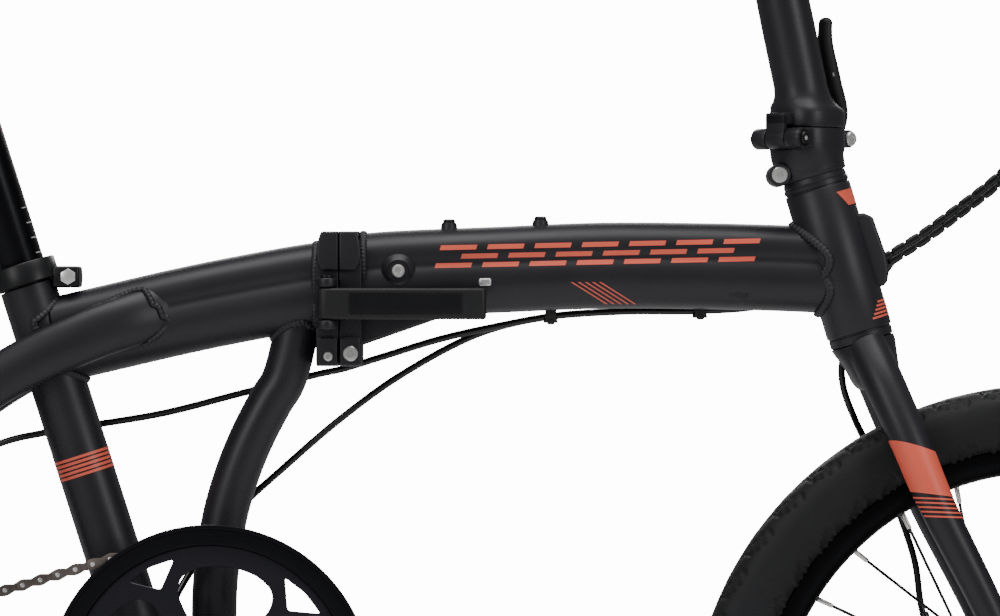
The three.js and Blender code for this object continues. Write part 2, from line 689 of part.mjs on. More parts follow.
function buildWheel(end, x, rotorY) {
  const w = TYRE_HALF_WIDTH;
  const bead = RIM_R + GAP;
  const crown = vertexRadius(WHEEL_R);
  const tyre = [
    [bead, -RIM_HALF_WIDTH + 1], [218, -20], [230, -w], [242, -21], [crown, -TREAD_HALF_FLAT],
    [crown, TREAD_HALF_FLAT], [242, 21], [230, w], [218, 20],
    [bead, RIM_HALF_WIDTH - 1], [bead, -RIM_HALF_WIDTH + 1],
  ];
  part(`${end}_tyre`, turned(tyre, WHEEL_SIDES, x, WHEEL_R), rubber());
  const rim = [
    [RIM_INNER_R, -5], [198, -RIM_HALF_WIDTH], [RIM_R, -RIM_HALF_WIDTH], [RIM_R, RIM_HALF_WIDTH],
    [198, RIM_HALF_WIDTH], [RIM_INNER_R, 5], [RIM_INNER_R, -5],
  ];
  part(`${end}_rim`, turned(rim, WHEEL_SIDES, x, WHEEL_R), blackAlloy());

  const half = end === 'front' ? FRONT_OLD / 2 : REAR_OLD / 2;
  const flange = end === 'front' ? 27 : 22;
  const bore = AXLE_R + GAP;
  const shell = [
    [bore, -half + GAP], [8, -half + GAP], [8, -flange - 4],
    [FLANGE_R, -flange - 3], [FLANGE_R, -flange], [12, 0],
    [FLANGE_R, flange], [FLANGE_R, flange + 3], [8, flange + 4], [8, half - GAP], [bore, half - GAP],
    [bore, -half + GAP],
  ];
  let hub = solid(turned(shell, 12, x, WHEEL_R));
  for (let i = 0; i < SPOKES; i += 1) {
    const side = i % 2 === 0 ? 1 : -1;
    const lead = Math.floor(i / 2) % 2 === 0 ? 1 : -1;
    const rimAngle = ((i + 0.5) * 360) / SPOKES;
    const hubAngle = rimAngle + lead * 62;
    const inner = polar(FLANGE_R - 3.5, hubAngle);
    const outer = polar(RIM_INNER_R - 1.6, rimAngle);
    // Spokes that lead leave the outer face of the flange and those that trail the inner one.
    const from = v(x + inner.x, side * (flange + 1.5 + 1.9 * lead), WHEEL_R + inner.y);
    const to = v(x + outer.x, side * 3, WHEEL_R + outer.y);
    hub = hub.add(solid(rod(from, to, SPOKE_R, 3)));
  }
  part(`${end}_hub`, hub, blackAlloy());

  const windows = Array.from({ length: 6 }, (_, i) => {
    const corners = [polar(64, 60 * i + 5), polar(64, 60 * i + 28), polar(64, 60 * i + 51),
      polar(34, 60 * i + 40), polar(34, 60 * i + 12)];
    return corners.map((corner) => corner.add(new THREE.Vector2(x, WHEEL_R)));
  });
  const disc = plate(circle(x, WHEEL_R, ROTOR_R, 30), rotorY - 1, rotorY + 1, windows);
  part(`${end}_rotor`, cut(disc, rod(v(x, -80, WHEEL_R), v(x, 80, WHEEL_R), 8 + GAP, 12)), silver());
}

function buildAxles() {
  for (const [end, x, half, thickness] of [
    ['front', HALF_WHEELBASE, FRONT_OLD / 2, 7],
    ['rear', -HALF_WHEELBASE, REAR_OLD / 2, 2 * STAY_INSET],
  ]) {
    const outside = half + thickness + GAP;
    const nuts = [1, -1].map((sign) => rod(
      v(x, sign * outside, WHEEL_R),
      v(x, sign * (outside + 8), WHEEL_R),
      8.5,
      6,
    ));
    const shaft = rod(v(x, -outside - 11, WHEEL_R), v(x, outside + 11, WHEEL_R), AXLE_R, 12);
    part(`${end}_axle`, join(shaft, ...nuts), silver());
  }
}

// ---------- drivetrain ----------

const pitchRadius = (teeth) => (teeth * CHAIN_PITCH) / (2 * Math.PI);
const GUIDE = [-502, 196];
const TENSION = [-478, 138];

// Each wheel of the chain loop: centre, pitch radius and which way the chain wraps it.
const CHAIN_WHEELS = [
  { x: BB_X, z: BB_Z, r: pitchRadius(RING_TEETH), turn: 1 },
  { x: -HALF_WHEELBASE, z: WHEEL_R, r: pitchRadius(COG_TEETH), turn: 1 },
  { x: GUIDE[0], z: GUIDE[1], r: pitchRadius(PULLEY_TEETH), turn: -1 },
  { x: TENSION[0], z: TENSION[1], r: pitchRadius(PULLEY_TEETH), turn: 1 },
];

// Directions of the straight run from wheel a to wheel b, as the angle of the contact normal.
function tangentAngle(a, b) {
  const heading = Math.atan2(b.z - a.z, b.x - a.x);
  const distance = Math.hypot(b.x - a.x, b.z - a.z);
  return heading - Math.acos((a.turn * a.r - b.turn * b.r) / distance);
}

function chainOutline(offset) {
  const outline = [];
  const count = CHAIN_WHEELS.length;
  CHAIN_WHEELS.forEach((wheel, i) => {
    const before = CHAIN_WHEELS[(i + count - 1) % count];
    const after = CHAIN_WHEELS[(i + 1) % count];
    const radius = wheel.turn * wheel.r + offset;
    const arrive = tangentAngle(before, wheel);
    let sweepAngle = tangentAngle(wheel, after) - arrive;
    while (wheel.turn * sweepAngle < 0) sweepAngle += wheel.turn * 2 * Math.PI;
    const stepAngle = Math.min(18 * RAD, 16 / wheel.r);
    const steps = Math.ceil(Math.abs(sweepAngle) / stepAngle);
    for (let k = 0; k <= steps; k += 1) {
      const angle = arrive + (sweepAngle * k) / steps;
      const x = wheel.x + radius * Math.cos(angle);
      const z = wheel.z + radius * Math.sin(angle);
      outline.push(new THREE.Vector2(x, z));
    }
  });
  return outline;
}

function buildDrivetrain() {
  const band = plate(
    chainOutline(CHAIN_HALF_HEIGHT),
    CHAIN_Y - CHAIN_HALF_WIDTH,
    CHAIN_Y + CHAIN_HALF_WIDTH,
    [chainOutline(-CHAIN_HALF_HEIGHT)],
  );
  part('chain', band, silver());

  const toothRoot = pitchRadius(RING_TEETH) - CHAIN_HALF_HEIGHT - 1.2;
  const middle = circle(BB_X, BB_Z, 84, 24);
  const ring = plate(circle(BB_X, BB_Z, toothRoot, 36), CHAIN_Y - 1.5, CHAIN_Y + 1.5, [middle]);
  part('chainring', ring, blackAlloy());
  buildRightCrank();
  buildLeftCrank();
  buildCassette();
  buildDerailleur();
}

const FIRST_ARM = 44.6;           // degrees from +X to the first of the five forked arms

function buildRightCrank() {
  const centre = new THREE.Vector2(BB_X, BB_Z);
  const arms = Array.from({ length: 5 }, (_, i) => {
    const angle = FIRST_ARM + 72 * i;
    const outline = [polar(26, angle - 30), polar(62, angle - 10), polar(97, angle - 16)];
    outline.push(polar(97, angle + 16), polar(62, angle + 10), polar(26, angle + 30));
    const window = [polar(74, angle), polar(89, angle - 9), polar(89, angle + 9)];
    const shift = (point) => point.add(centre);
    return plate(outline.map(shift), -55, -50, [window.map(shift)]);
  });
  const hub = rod(v(BB_X, -64, BB_Z), v(BB_X, -50, BB_Z), 30, 20);
  const boss = rod(v(BB_X, -78, BB_Z), v(BB_X, -60, BB_Z), 17, 18);
  const arm = plate(link(BB_X, BB_Z, 17, BB_X - CRANK_LENGTH, BB_Z, 13), -78, -64);
  const spindle = rod(v(BB_X, 70, BB_Z), v(BB_X, -70, BB_Z), SPINDLE_R, 16);
  const tip = BB_X - CRANK_LENGTH;
  const pedalHole = rod(v(tip, -90, BB_Z), v(tip, -60, BB_Z), PEDAL_SHAFT_R + GAP, 12);
  const guard = plate(circle(BB_X, BB_Z, GUARD_R, 36), -57.5, -54.5, [circle(BB_X, BB_Z, 92, 24)]);
  part('right_crank', cut(join(hub, boss, arm, spindle, guard, ...arms), pedalHole), blackAlloy());
}

function buildLeftCrank() {
  const arm = plate(link(BB_X, BB_Z, 16, BB_X + CRANK_LENGTH, BB_Z, 13), 64, 78);
  const boss = rod(v(BB_X, 50, BB_Z), v(BB_X, 78, BB_Z), 16, 18);
  const socket = rod(v(BB_X, 40, BB_Z), v(BB_X, 72, BB_Z), SPINDLE_R + GAP, 16);
  const tip = BB_X + CRANK_LENGTH;
  const pedalHole = rod(v(tip, 60, BB_Z), v(tip, 90, BB_Z), PEDAL_SHAFT_R + GAP, 12);
  part('left_crank', cut(join(arm, boss), socket, pedalHole), blackAlloy());
}

function buildPedal(side, sign) {
  const x = BB_X + sign * CRANK_LENGTH;
  const near = PEDAL_Y - 44;
  const far = PEDAL_Y + 46;
  const yMin = Math.min(sign * near, sign * far);
  const yMax = Math.max(sign * near, sign * far);
  const corner = 12;
  const outline = [
    [x - 38, yMin + corner], [x - 38 + corner, yMin], [x + 38 - corner, yMin], [x + 38, yMin + corner],
    [x + 38, yMax - corner], [x + 38 - corner, yMax], [x - 38 + corner, yMax], [x - 38, yMax - corner],
  ].map(([px, py]) => new THREE.Vector2(px, py));
  const windows = [-1, 1].map((fore) => box(
    x + fore * 20 - 9, x + fore * 20 + 9, sign * PEDAL_Y - 30, sign * PEDAL_Y + 30, BB_Z - 20, BB_Z + 20,
  ));
  const shaft = rod(v(x, sign * 66, BB_Z), v(x, sign * (near + 4), BB_Z), PEDAL_SHAFT_R, 12);
  const body = cut(slab(outline, BB_Z - 12, BB_Z + 12), ...windows);
  part(`${side}_pedal`, join(body, shaft), plastic());
}

function buildCassette() {
  const cogs = [14, 17, 20, 24, 28];
  const profile = [[11, CHAIN_Y - 3], [pitchRadius(COG_TEETH) - CHAIN_HALF_HEIGHT - 0.6, CHAIN_Y - 3]];
  profile.push([pitchRadius(COG_TEETH) - CHAIN_HALF_HEIGHT - 0.6, CHAIN_Y + CHAIN_HALF_WIDTH + GAP]);
  cogs.forEach((teeth, i) => {
    const y = CHAIN_Y + CHAIN_HALF_WIDTH + GAP + i * 3;
    profile.push([pitchRadius(teeth) + 2, y], [pitchRadius(teeth) + 2, y + 3]);
  });
  profile.push([11, profile.at(-1)[1]], [11, CHAIN_Y - 3]);
  part('cassette', turned(profile, 16, -HALF_WHEELBASE, WHEEL_R), silver());
}

function pulley(name, [x, z]) {
  const root = pitchRadius(PULLEY_TEETH) - CHAIN_HALF_HEIGHT - 1;
  const wheel = plate(circle(x, z, root, 16), CHAIN_Y - 1.4, CHAIN_Y + 1.4, [circle(x, z, 3.2, 10)]);
  part(name, wheel, plastic());
}

function buildDerailleur() {
  const outerY = CHAIN_Y - CHAIN_HALF_WIDTH - GAP - 0.4;
  const cage = (y0, y1) => plate(link(...GUIDE, 13, ...TENSION, 12), y0, y1);
  const bolts = [GUIDE, TENSION].map(([x, z]) => rod(v(x, outerY - 2, z), v(x, CHAIN_Y + 5.6, z), 2.6, 8));
  const cagePair = join(cage(outerY - 2, outerY), cage(CHAIN_Y + 3.6, CHAIN_Y + 5.6), ...bolts);
  pulley('guide_pulley', GUIDE);
  pulley('tension_pulley', TENSION);
  const [mountX, mountZ] = HANGER;
  const knuckleTop = rod(v(mountX, -76 - GAP, mountZ), v(mountX, -88, mountZ), 11, 14);
  const knuckleLow = rod(v(GUIDE[0], outerY - 1, GUIDE[1]), v(GUIDE[0], -78, GUIDE[1]), 11, 14);
  const arm = plate(link(mountX, mountZ, 10, ...GUIDE, 10), -88, -72);
  const hangerRoom = link(-HALF_WHEELBASE, WHEEL_R, DROPOUT_R + GAP, mountX, mountZ, 8 + GAP);
  const hanger = plate(hangerRoom, -74.3, -65);
  part('derailleur', join(cut(join(knuckleTop, knuckleLow, arm), hanger), cagePair), blackAlloy());
}

// ---------- brakes ----------

function buildCaliper(end, x, z, rotorY, lean) {
  const yInner = rotorY - 8;
  const yOuter = rotorY + 16;
  const body = plate([
    new THREE.Vector2(-20, -13), new THREE.Vector2(20, -13), new THREE.Vector2(22, 8),
    new THREE.Vector2(12, 15), new THREE.Vector2(-12, 15), new THREE.Vector2(-22, 8),
  ], yInner, yOuter);
  body.rotateY(-lean * RAD).translate(x, 0, z);
  const wheelX = Math.sign(x) * HALF_WHEELBASE;
  const slot = rod(v(wheelX, rotorY - 2, WHEEL_R), v(wheelX, rotorY + 2, WHEEL_R), ROTOR_R + 4, 36);
  part(`${end}_brake_caliper`, cut(body, slot), blackAlloy());
  const arm = plate(link(0, 0, 8, 26, 6, 4.5), yOuter + GAP, yOuter + 5);
  arm.rotateY(-lean * RAD).translate(x, 0, z);
  part(`${end}_caliper_arm`, arm, silver());
}

function buildKickstand() {
  const leg = sweep([
    v(STAND_X, STAND_Y, STAND_Z),
    v(STAND_X + 6, STAND_Y + 1, 200),
    v(STAND_X + 12, STAND_Y + 3, 150),
    v(STAND_X + 18, STAND_Y + 16, 115),
    v(STAND_X + 24, STAND_Y + 48, 50),
    v(STAND_X + 28, STAND_Y + 72, 12),
  ], oval(7, 7), 9);
  const foot = rod(v(STAND_X + 28, 122, 0), v(STAND_X + 28, 122, 15), 14, 16, 9);
  const knee = rod(v(STAND_X, STAND_Y - 11, STAND_Z), v(STAND_X, STAND_Y + 9, STAND_Z), 11, 16);
  part('kickstand', join(leg, foot, knee), blackAlloy());
}

// ---------- seat ----------

function buildSeat() {
  const post = rod(seatAxis(462), seatAxis(SADDLE_CLAMP_Z), SEAT_POST_R, 18);
  const top = seatAxis(SADDLE_CLAMP_Z);
  const clamp = join(
    rod(v(top.x, -24, top.z + 1), v(top.x, 24, top.z + 1), 12, 12),
    box(top.x - 16, top.x + 16, -18, 18, top.z, top.z + 14),
  );
  part('seat_post', join(post, clamp), blackAlloy());
}

const SADDLE_LENGTH = 262;
const SADDLE_HALF_WIDTH = 76;
const SADDLE_HEIGHT = 46;

function buildSaddle() {
  const top = seatAxis(SADDLE_CLAMP_Z);
  const tail = top.x - 128;
  // Half outline from nose to tail: share of the length, share of the half width.
  const half = [
    [1, 0], [0.985, 0.16], [0.93, 0.25], [0.6, 0.3], [0.4, 0.5],
    [0.25, 0.85], [0.12, 1], [0.03, 0.86], [0, 0.5],
  ];
  const right = half.map(([along, wide]) => new THREE.Vector2(
    tail + along * SADDLE_LENGTH,
    -wide * SADDLE_HALF_WIDTH,
  ));
  const left = right.slice(1).reverse().map((point) => new THREE.Vector2(point.x, -point.y));
  const low = top.z + 14 + GAP;
  part('saddle', slab([...right, ...left], low, low + SADDLE_HEIGHT), plastic());
}

// ---------- cables, each in the stretch that one body carries ----------

const HOUSING_R = 2.5;
const BUNDLE_R = 5;
const housing = (points, steps, radius = HOUSING_R) => sweep(points, oval(radius, radius, 6), steps);

function buildCables() {
  const lower = [v(397, 3, 594), v(420, 3, 608.5), v(448, 3, 629), v(476, 3, 651), v(503, 4, 680)];
  part('cable_bundle_lower', housing(lower, 8, BUNDLE_R), plastic());

  const [barX, barZ] = BAR;
  const upper = [
    v(504, 4, 681.5), v(524, 5, 725), v(528, 6, 790),
    v(506, 8, 860), v(455, 9, 925), v(395, 8, 970),
  ];
  const branches = [
    [v(395, 8, 970), v(350, 40, 1000), v(315, 90, 1012), v(barX + 27, 130, barZ - 8)],
    [v(395, 8, 970), v(350, -30, 998), v(315, -85, 1010), v(barX + 27, -130, barZ - 8)],
    [v(395, 8, 970), v(345, -20, 985), v(305, -70, 992), v(barX + 13, -110, barZ - 23)],
  ];
  const fan = branches.map((route) => housing(route, 6));
  part('cable_bundle_upper', join(housing(upper, 9, BUNDLE_R), ...fan), plastic());

  const toFork = [
    v(509, 8, 668), v(490, 18, 648), v(466, 27, 629), v(425, 40, 600),
    v(393, 43, 560), v(368, 38, 515), v(378, 42, 478),
    v(398, 58, 440), v(412, 66, 400), v(419, 66, 362), v(432, 62, 330),
  ];
  part('front_brake_cable', housing(toFork, 20), plastic());

  const shared = (y) => [
    v(390, y + 11, 588), v(381, y + 22, 583), v(361, y + 26, 577),
    v(338, y + 23, 570), v(305, y + 14, 561), v(265, y + 12, 558),
    v(210, y + 12, 557.5), v(159, y + 12, 554),
  ];
  const brakeFront = [
    ...shared(4), v(123, 18, 547.5), v(80.6, 20, 538), v(38.2, 22, 525), v(HINGE_X + GAP, 22, 516.5),
  ];
  const shiftFront = [...shared(9.5), v(108.8, 24, 542), v(52.3, 23, 512.2), v(HINGE_X + GAP, 22, 481.8)];
  const clips = [265, 159].map((x) => box(x - 5, x + 5, 10, 26, 551, 556));
  part('main_tube_cables', join(housing(brakeFront, 16), housing(shiftFront, 16), ...clips), plastic());

  const brakeRear = [
    v(HINGE_X - GAP, 22, 516.3), v(-4, 23, 513.5), v(-60.8, 26, 499.4), v(-117.3, 27, 485), v(-202, 29, 471),
    v(-232, 34, 464), v(-300, 56, 432), v(-380, 66, 378), v(-440, 70, 350), v(-470, 66, 349),
  ];
  part('rear_brake_cable', housing(brakeRear, 18), plastic());
  const shiftRear = [
    v(HINGE_X - GAP, 22, 481.3), v(-32.5, 24, 445), v(-60.8, 26, 418.9), v(-92, 23, 380),
    v(-108, 4, 352), v(-112, -18, 334), v(-128, -30, 312), v(-180, -35, 302),
    v(-290, -42, 290.5), v(-400, -62, 286), v(-470, -81, 290), v(-530, -82, 280),
    v(-556, -82, 252), v(-545, -82, 228), v(-526, -82, 223),
  ];
  part('shift_cable', housing(shiftRear, 30), plastic());
}

buildRearFrame();
buildFrontFrame();
buildFrameLatch();
buildFork();
buildStemBase();
buildHandlepost();
buildHandlebar();
buildPostLatch();
buildWheel('front', HALF_WHEELBASE, 38);
buildWheel('rear', -HALF_WHEELBASE, 42);
buildAxles();
buildDrivetrain();
buildPedal('left', 1);
buildPedal('right', -1);
buildCaliper('front', 441, 300, 38, 145);
buildCaliper('rear', -498, 336, 42, 80);
buildKickstand();
buildSeat();
buildSaddle();
buildCables();

export default bike;
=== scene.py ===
"""Looks for the folding bicycle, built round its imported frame. Lengths are in millimetres; MM makes them metres."""

import json
import math

import bmesh
import bpy
import numpy as np
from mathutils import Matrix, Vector
from mathutils.bvhtree import BVHTree


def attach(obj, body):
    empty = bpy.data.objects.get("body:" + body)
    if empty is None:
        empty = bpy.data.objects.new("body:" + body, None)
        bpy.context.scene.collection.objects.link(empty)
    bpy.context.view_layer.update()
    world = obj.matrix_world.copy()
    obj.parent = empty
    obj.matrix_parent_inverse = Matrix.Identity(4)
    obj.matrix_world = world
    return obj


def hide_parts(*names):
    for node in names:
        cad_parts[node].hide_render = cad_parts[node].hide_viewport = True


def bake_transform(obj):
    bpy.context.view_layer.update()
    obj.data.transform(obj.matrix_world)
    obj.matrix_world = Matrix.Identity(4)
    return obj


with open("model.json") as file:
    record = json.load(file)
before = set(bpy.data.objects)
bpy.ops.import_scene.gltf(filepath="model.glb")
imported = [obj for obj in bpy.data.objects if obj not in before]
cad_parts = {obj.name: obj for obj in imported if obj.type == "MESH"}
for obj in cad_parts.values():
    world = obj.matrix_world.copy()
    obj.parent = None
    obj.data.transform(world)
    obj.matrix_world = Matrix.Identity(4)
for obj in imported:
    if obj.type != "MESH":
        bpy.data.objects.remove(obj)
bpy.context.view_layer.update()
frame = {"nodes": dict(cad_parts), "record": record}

MM = 0.001

# ---------- driving dimensions ----------

WHEEL_R = 252.8
HALF_WHEELBASE = 509.0
BB = np.array([-79.0, 0.0, 296.0])
HINGE_X = 9.9
SEAT_POINT = np.array([-176.3, 0.0, 466.9])
SEAT_LEAN = math.radians(17.7)
SEAT_TUBE_R = 19.85
SEAT_BORE = 17.0
STRUT_R = 15.9
HEAD_TUBE_R = 23.5
HEAD_TOP = np.array([347.4, 0.0, 643.6])
HEAD_BOTTOM = np.array([376.7, 0.0, 544.0])
BAR = np.array([272.0, 0.0, 1025.0])
CRANK = 165.0
CHAIN_PITCH = 12.7
CHAIN_Y = -48.2
X, Y, Z = np.eye(3)

SEAT_DIR = np.array([-math.sin(SEAT_LEAN), 0.0, math.cos(SEAT_LEAN)])
HEAD_DIR = (HEAD_TOP - HEAD_BOTTOM) / np.linalg.norm(HEAD_TOP - HEAD_BOTTOM)


def seat_axis(z):
    return SEAT_POINT + SEAT_DIR * (z - SEAT_POINT[2]) / SEAT_DIR[2]


def head_axis(z):
    return HEAD_BOTTOM + HEAD_DIR * (z - HEAD_BOTTOM[2]) / HEAD_DIR[2]


# ---------- stage: camera, lights, floor ----------


def aim(obj, target):
    obj.rotation_euler = (Vector(target) - obj.location).to_track_quat("-Z", "Y").to_euler()


def make_camera():
    data = bpy.data.cameras.new("camera")
    data.lens = 173.2
    data.sensor_width = 36.0
    camera = bpy.data.objects.new("camera", data)
    camera.location = (0.123, -3.4, 0.560)
    camera.rotation_euler = (math.pi / 2, 0.0, 0.0)
    bpy.context.scene.collection.objects.link(camera)
    bpy.context.scene.camera = camera


def area_light(name, place, target, width, height, power):
    data = bpy.data.lights.new(name, "AREA")
    data.shape = "RECTANGLE"
    data.size = width
    data.size_y = height
    data.energy = power
    light = bpy.data.objects.new(name, data)
    light.location = place
    aim(light, target)
    bpy.context.scene.collection.objects.link(light)


def make_lights():
    middle = (0.0, 0.0, 0.55)
    area_light("overhead", (0.1, -0.6, 2.9), middle, 2.6, 1.5, 52)
    area_light("front_left", (-2.2, -2.6, 1.7), middle, 1.2, 1.6, 26)
    area_light("front_right", (2.4, -2.2, 1.5), middle, 1.0, 1.6, 22)
    area_light("behind", (0.3, 2.6, 1.9), middle, 2.4, 1.2, 30)
    world = bpy.data.worlds.new("studio")
    bpy.context.scene.world = world
    world.use_nodes = True
    nodes, links = world.node_tree.nodes, world.node_tree.links
    nodes.clear()
    seen = nodes.new("ShaderNodeBackground")
    seen.inputs["Color"].default_value = (1.0, 1.0, 1.0, 1.0)
    seen.inputs["Strength"].default_value = 14.0
    lit = nodes.new("ShaderNodeBackground")
    lit.inputs["Color"].default_value = (0.95, 0.97, 1.0, 1.0)
    lit.inputs["Strength"].default_value = 0.2
    path = nodes.new("ShaderNodeLightPath")
    mix = nodes.new("ShaderNodeMixShader")
    out = nodes.new("ShaderNodeOutputWorld")
    links.new(path.outputs["Is Camera Ray"], mix.inputs[0])
    links.new(lit.outputs[0], mix.inputs[1])
    links.new(seen.outputs[0], mix.inputs[2])
    links.new(mix.outputs[0], out.inputs[0])


# ---------- materials ----------


def new_material(name, colour, roughness, metallic=0.0):
    made = bpy.data.materials.new(name)
    made.use_nodes = True
    shader = made.node_tree.nodes["Principled BSDF"]
    shader.inputs["Base Color"].default_value = (*colour, 1.0)
    shader.inputs["Roughness"].default_value = roughness
    shader.inputs["Metallic"].default_value = metallic
    return made, made.node_tree.nodes, made.node_tree.links, shader


def noise(nodes, links, coords, scale, detail=3.0, stretch=(1.0, 1.0, 1.0)):
    mapping = nodes.new("ShaderNodeMapping")
    mapping.inputs["Scale"].default_value = stretch
    texture = nodes.new("ShaderNodeTexNoise")
    texture.inputs["Scale"].default_value = scale
    texture.inputs["Detail"].default_value = detail
    links.new(coords.outputs["Object"], mapping.inputs["Vector"])
    links.new(mapping.outputs["Vector"], texture.inputs["Vector"])
    return texture


def remap(nodes, links, source, low, high):
    ranged = nodes.new("ShaderNodeMapRange")
    ranged.inputs["From Min"].default_value = 0.3
    ranged.inputs["From Max"].default_value = 0.7
    ranged.inputs["To Min"].default_value = low
    ranged.inputs["To Max"].default_value = high
    links.new(source, ranged.inputs["Value"])
    return ranged.outputs["Result"]


def tint(nodes, links, source, colour, dark, light):
    ramp = nodes.new("ShaderNodeValToRGB")
    ramp.color_ramp.elements[0].position = 0.3
    ramp.color_ramp.elements[0].color = (*[c * dark for c in colour], 1.0)
    ramp.color_ramp.elements[1].position = 0.72
    ramp.color_ramp.elements[1].color = (*[min(1.0, c * light) for c in colour], 1.0)
    links.new(source, ramp.inputs["Fac"])
    return ramp.outputs["Color"]


def bump(nodes, links, shader, source, strength, distance):
    node = nodes.new("ShaderNodeBump")
    node.inputs["Strength"].default_value = strength
    node.inputs["Distance"].default_value = distance
    links.new(source, node.inputs["Height"])
    links.new(node.outputs["Normal"], shader.inputs["Normal"])


def surface(name, colour, roughness, metallic=0.0, grain=1400.0, depth=0.00003, spread=0.06,
            dark=0.82, light=1.25, patch=14.0, stretch=(1.0, 1.0, 1.0), specular=0.5, coat=0.0):
    """A finish with fine grain in its bump, and slow changes in its colour and roughness."""
    made, nodes, links, shader = new_material(name, colour, roughness, metallic)
    shader.inputs["Specular IOR Level"].default_value = specular
    shader.inputs["Coat Weight"].default_value = coat
    coords = nodes.new("ShaderNodeTexCoord")
    slow = noise(nodes, links, coords, patch, 5.0)
    fine = noise(nodes, links, coords, grain, 2.0, stretch)
    links.new(tint(nodes, links, slow.outputs["Fac"], colour, dark, light), shader.inputs["Base Color"])
    rough = remap(nodes, links, slow.outputs["Fac"], roughness - spread, roughness + spread)
    links.new(rough, shader.inputs["Roughness"])
    bump(nodes, links, shader, fine.outputs["Fac"], 0.35, depth)
    return made


def turned_metal(name, colour, roughness, centre, pitch):
    """Metal with fine rings round a wheel's axle, which runs along Y through centre."""
    made, nodes, links, shader = new_material(name, colour, roughness, 1.0)
    coords = nodes.new("ShaderNodeTexCoord")
    mapping = nodes.new("ShaderNodeMapping")
    mapping.inputs["Location"].default_value = tuple(-c * MM for c in centre)
    wave = nodes.new("ShaderNodeTexWave")
    wave.wave_type = "RINGS"
    wave.rings_direction = "Y"
    wave.inputs["Scale"].default_value = 0.314 / (pitch * MM)
    wave.inputs["Distortion"].default_value = 1.5
    wave.inputs["Detail"].default_value = 2.0
    links.new(coords.outputs["Object"], mapping.inputs["Vector"])
    links.new(mapping.outputs["Vector"], wave.inputs["Vector"])
    links.new(tint(nodes, links, wave.outputs["Fac"], colour, 0.86, 1.1), shader.inputs["Base Color"])
    links.new(remap(nodes, links, wave.outputs["Fac"], roughness - 0.06, roughness + 0.1),
              shader.inputs["Roughness"])
    bump(nodes, links, shader, wave.outputs["Fac"], 0.2, 0.00003)
    return made


def cellular(name, colour, roughness, cell, depth, metallic=0.0, rounded=True, sheen=0.0):
    """Leather grain or moulded texture: cells of about the given size in metres."""
    made, nodes, links, shader = new_material(name, colour, roughness, metallic)
    shader.inputs["Sheen Weight"].default_value = sheen
    coords = nodes.new("ShaderNodeTexCoord")
    cells = nodes.new("ShaderNodeTexVoronoi")
    cells.feature = "SMOOTH_F1" if rounded else "DISTANCE_TO_EDGE"
    cells.inputs["Scale"].default_value = 1.0 / cell
    links.new(coords.outputs["Object"], cells.inputs["Vector"])
    slow = noise(nodes, links, coords, 16.0, 4.0)
    links.new(tint(nodes, links, slow.outputs["Fac"], colour, 0.8, 1.3), shader.inputs["Base Color"])
    rough = remap(nodes, links, slow.outputs["Fac"], roughness - 0.07, roughness + 0.07)
    links.new(rough, shader.inputs["Roughness"])
    bump(nodes, links, shader, cells.outputs["Distance"], 0.5, depth)
    return made


make_camera()
make_lights()

PAINT = surface("frame_paint", (0.0115, 0.0098, 0.0138), 0.42, grain=2600.0, depth=0.00002, spread=0.035)
PAINT_LIGHT = surface("frame_paint_weld", (0.0150, 0.0140, 0.0175), 0.5, grain=2200.0, depth=0.00004)
ALLOY = surface("black_anodised", (0.0095, 0.0095, 0.0105), 0.33, 0.35, grain=3000.0, spread=0.05)
ALLOY_MATTE = surface("black_cast", (0.0085, 0.0085, 0.0095), 0.52, 0.1, grain=1500.0, depth=0.00006)
SILVER = surface("zinc_silver", (0.78, 0.77, 0.75), 0.3, 0.7, grain=2600.0, depth=0.00002, dark=0.8)
STEEL = surface("chain_steel", (0.23, 0.225, 0.22), 0.4, 1.0, grain=2000.0, dark=0.5, light=1.35, patch=160.0)
BRASS = surface("nipple_nickel", (0.72, 0.70, 0.66), 0.24, 1.0, grain=2600.0, depth=0.00001)
SPOKE = surface("spoke_black", (0.011, 0.011, 0.012), 0.28, 0.6, grain=3500.0, depth=0.00001)
RUBBER = surface("tyre_rubber", (0.0095, 0.0095, 0.0105), 0.62, grain=1100.0, depth=0.00012, patch=26.0,
                 dark=0.75, light=1.4, specular=0.35)
GRIP_RUBBER = cellular("grip_rubber", (0.012, 0.012, 0.0125), 0.72, 0.0011, 0.0002)
PLASTIC = cellular("moulded_plastic", (0.0125, 0.0125, 0.0135), 0.5, 0.0009, 0.00005)
CABLE = surface("cable_sheath", (0.0065, 0.0065, 0.0075), 0.2, grain=1800.0, depth=0.00003)
SADDLE = cellular("saddle_cover", (0.0135, 0.013, 0.014), 0.5, 0.0014, 0.00025, sheen=0.12)
SALMON = surface("salmon_print", (0.90, 0.135, 0.080), 0.42, grain=2400.0, depth=0.00001, dark=0.94,
                 light=1.05, spread=0.03)
CLEAR = surface("reflector_amber", (0.75, 0.22, 0.02), 0.18, grain=900.0, depth=0.0002)
FLOOR = surface("floor_white", (0.86, 0.86, 0.87), 0.6, grain=220.0, depth=0.0001, dark=0.98, light=1.01)

BY_SLOT = {
    "frame_paint": PAINT,
    "black_alloy": ALLOY,
    "silver": SILVER,
    "chain_steel": STEEL,
    "rubber": GRIP_RUBBER,
    "tyre": RUBBER,
    "plastic": PLASTIC,
    "cable": CABLE,
    "saddle_cover": SADDLE,
}
# Each CAD piece gets the material listed for its slot in model.json.
for row in frame["record"]["subparts"]:
    if row["node"] in frame["nodes"]:
        mesh = frame["nodes"][row["node"]].data
        mesh.materials.clear()
        mesh.materials.append(BY_SLOT[row["material_slot"]])


# ---------- shapes: each is (vertices, faces) ----------


def unit(vector):
    vector = np.asarray(vector, float)
    return vector / np.linalg.norm(vector)


def turn(count):
    """Angles evenly spaced round one turn."""
    return np.linspace(0, 2 * np.pi, count, endpoint=False)


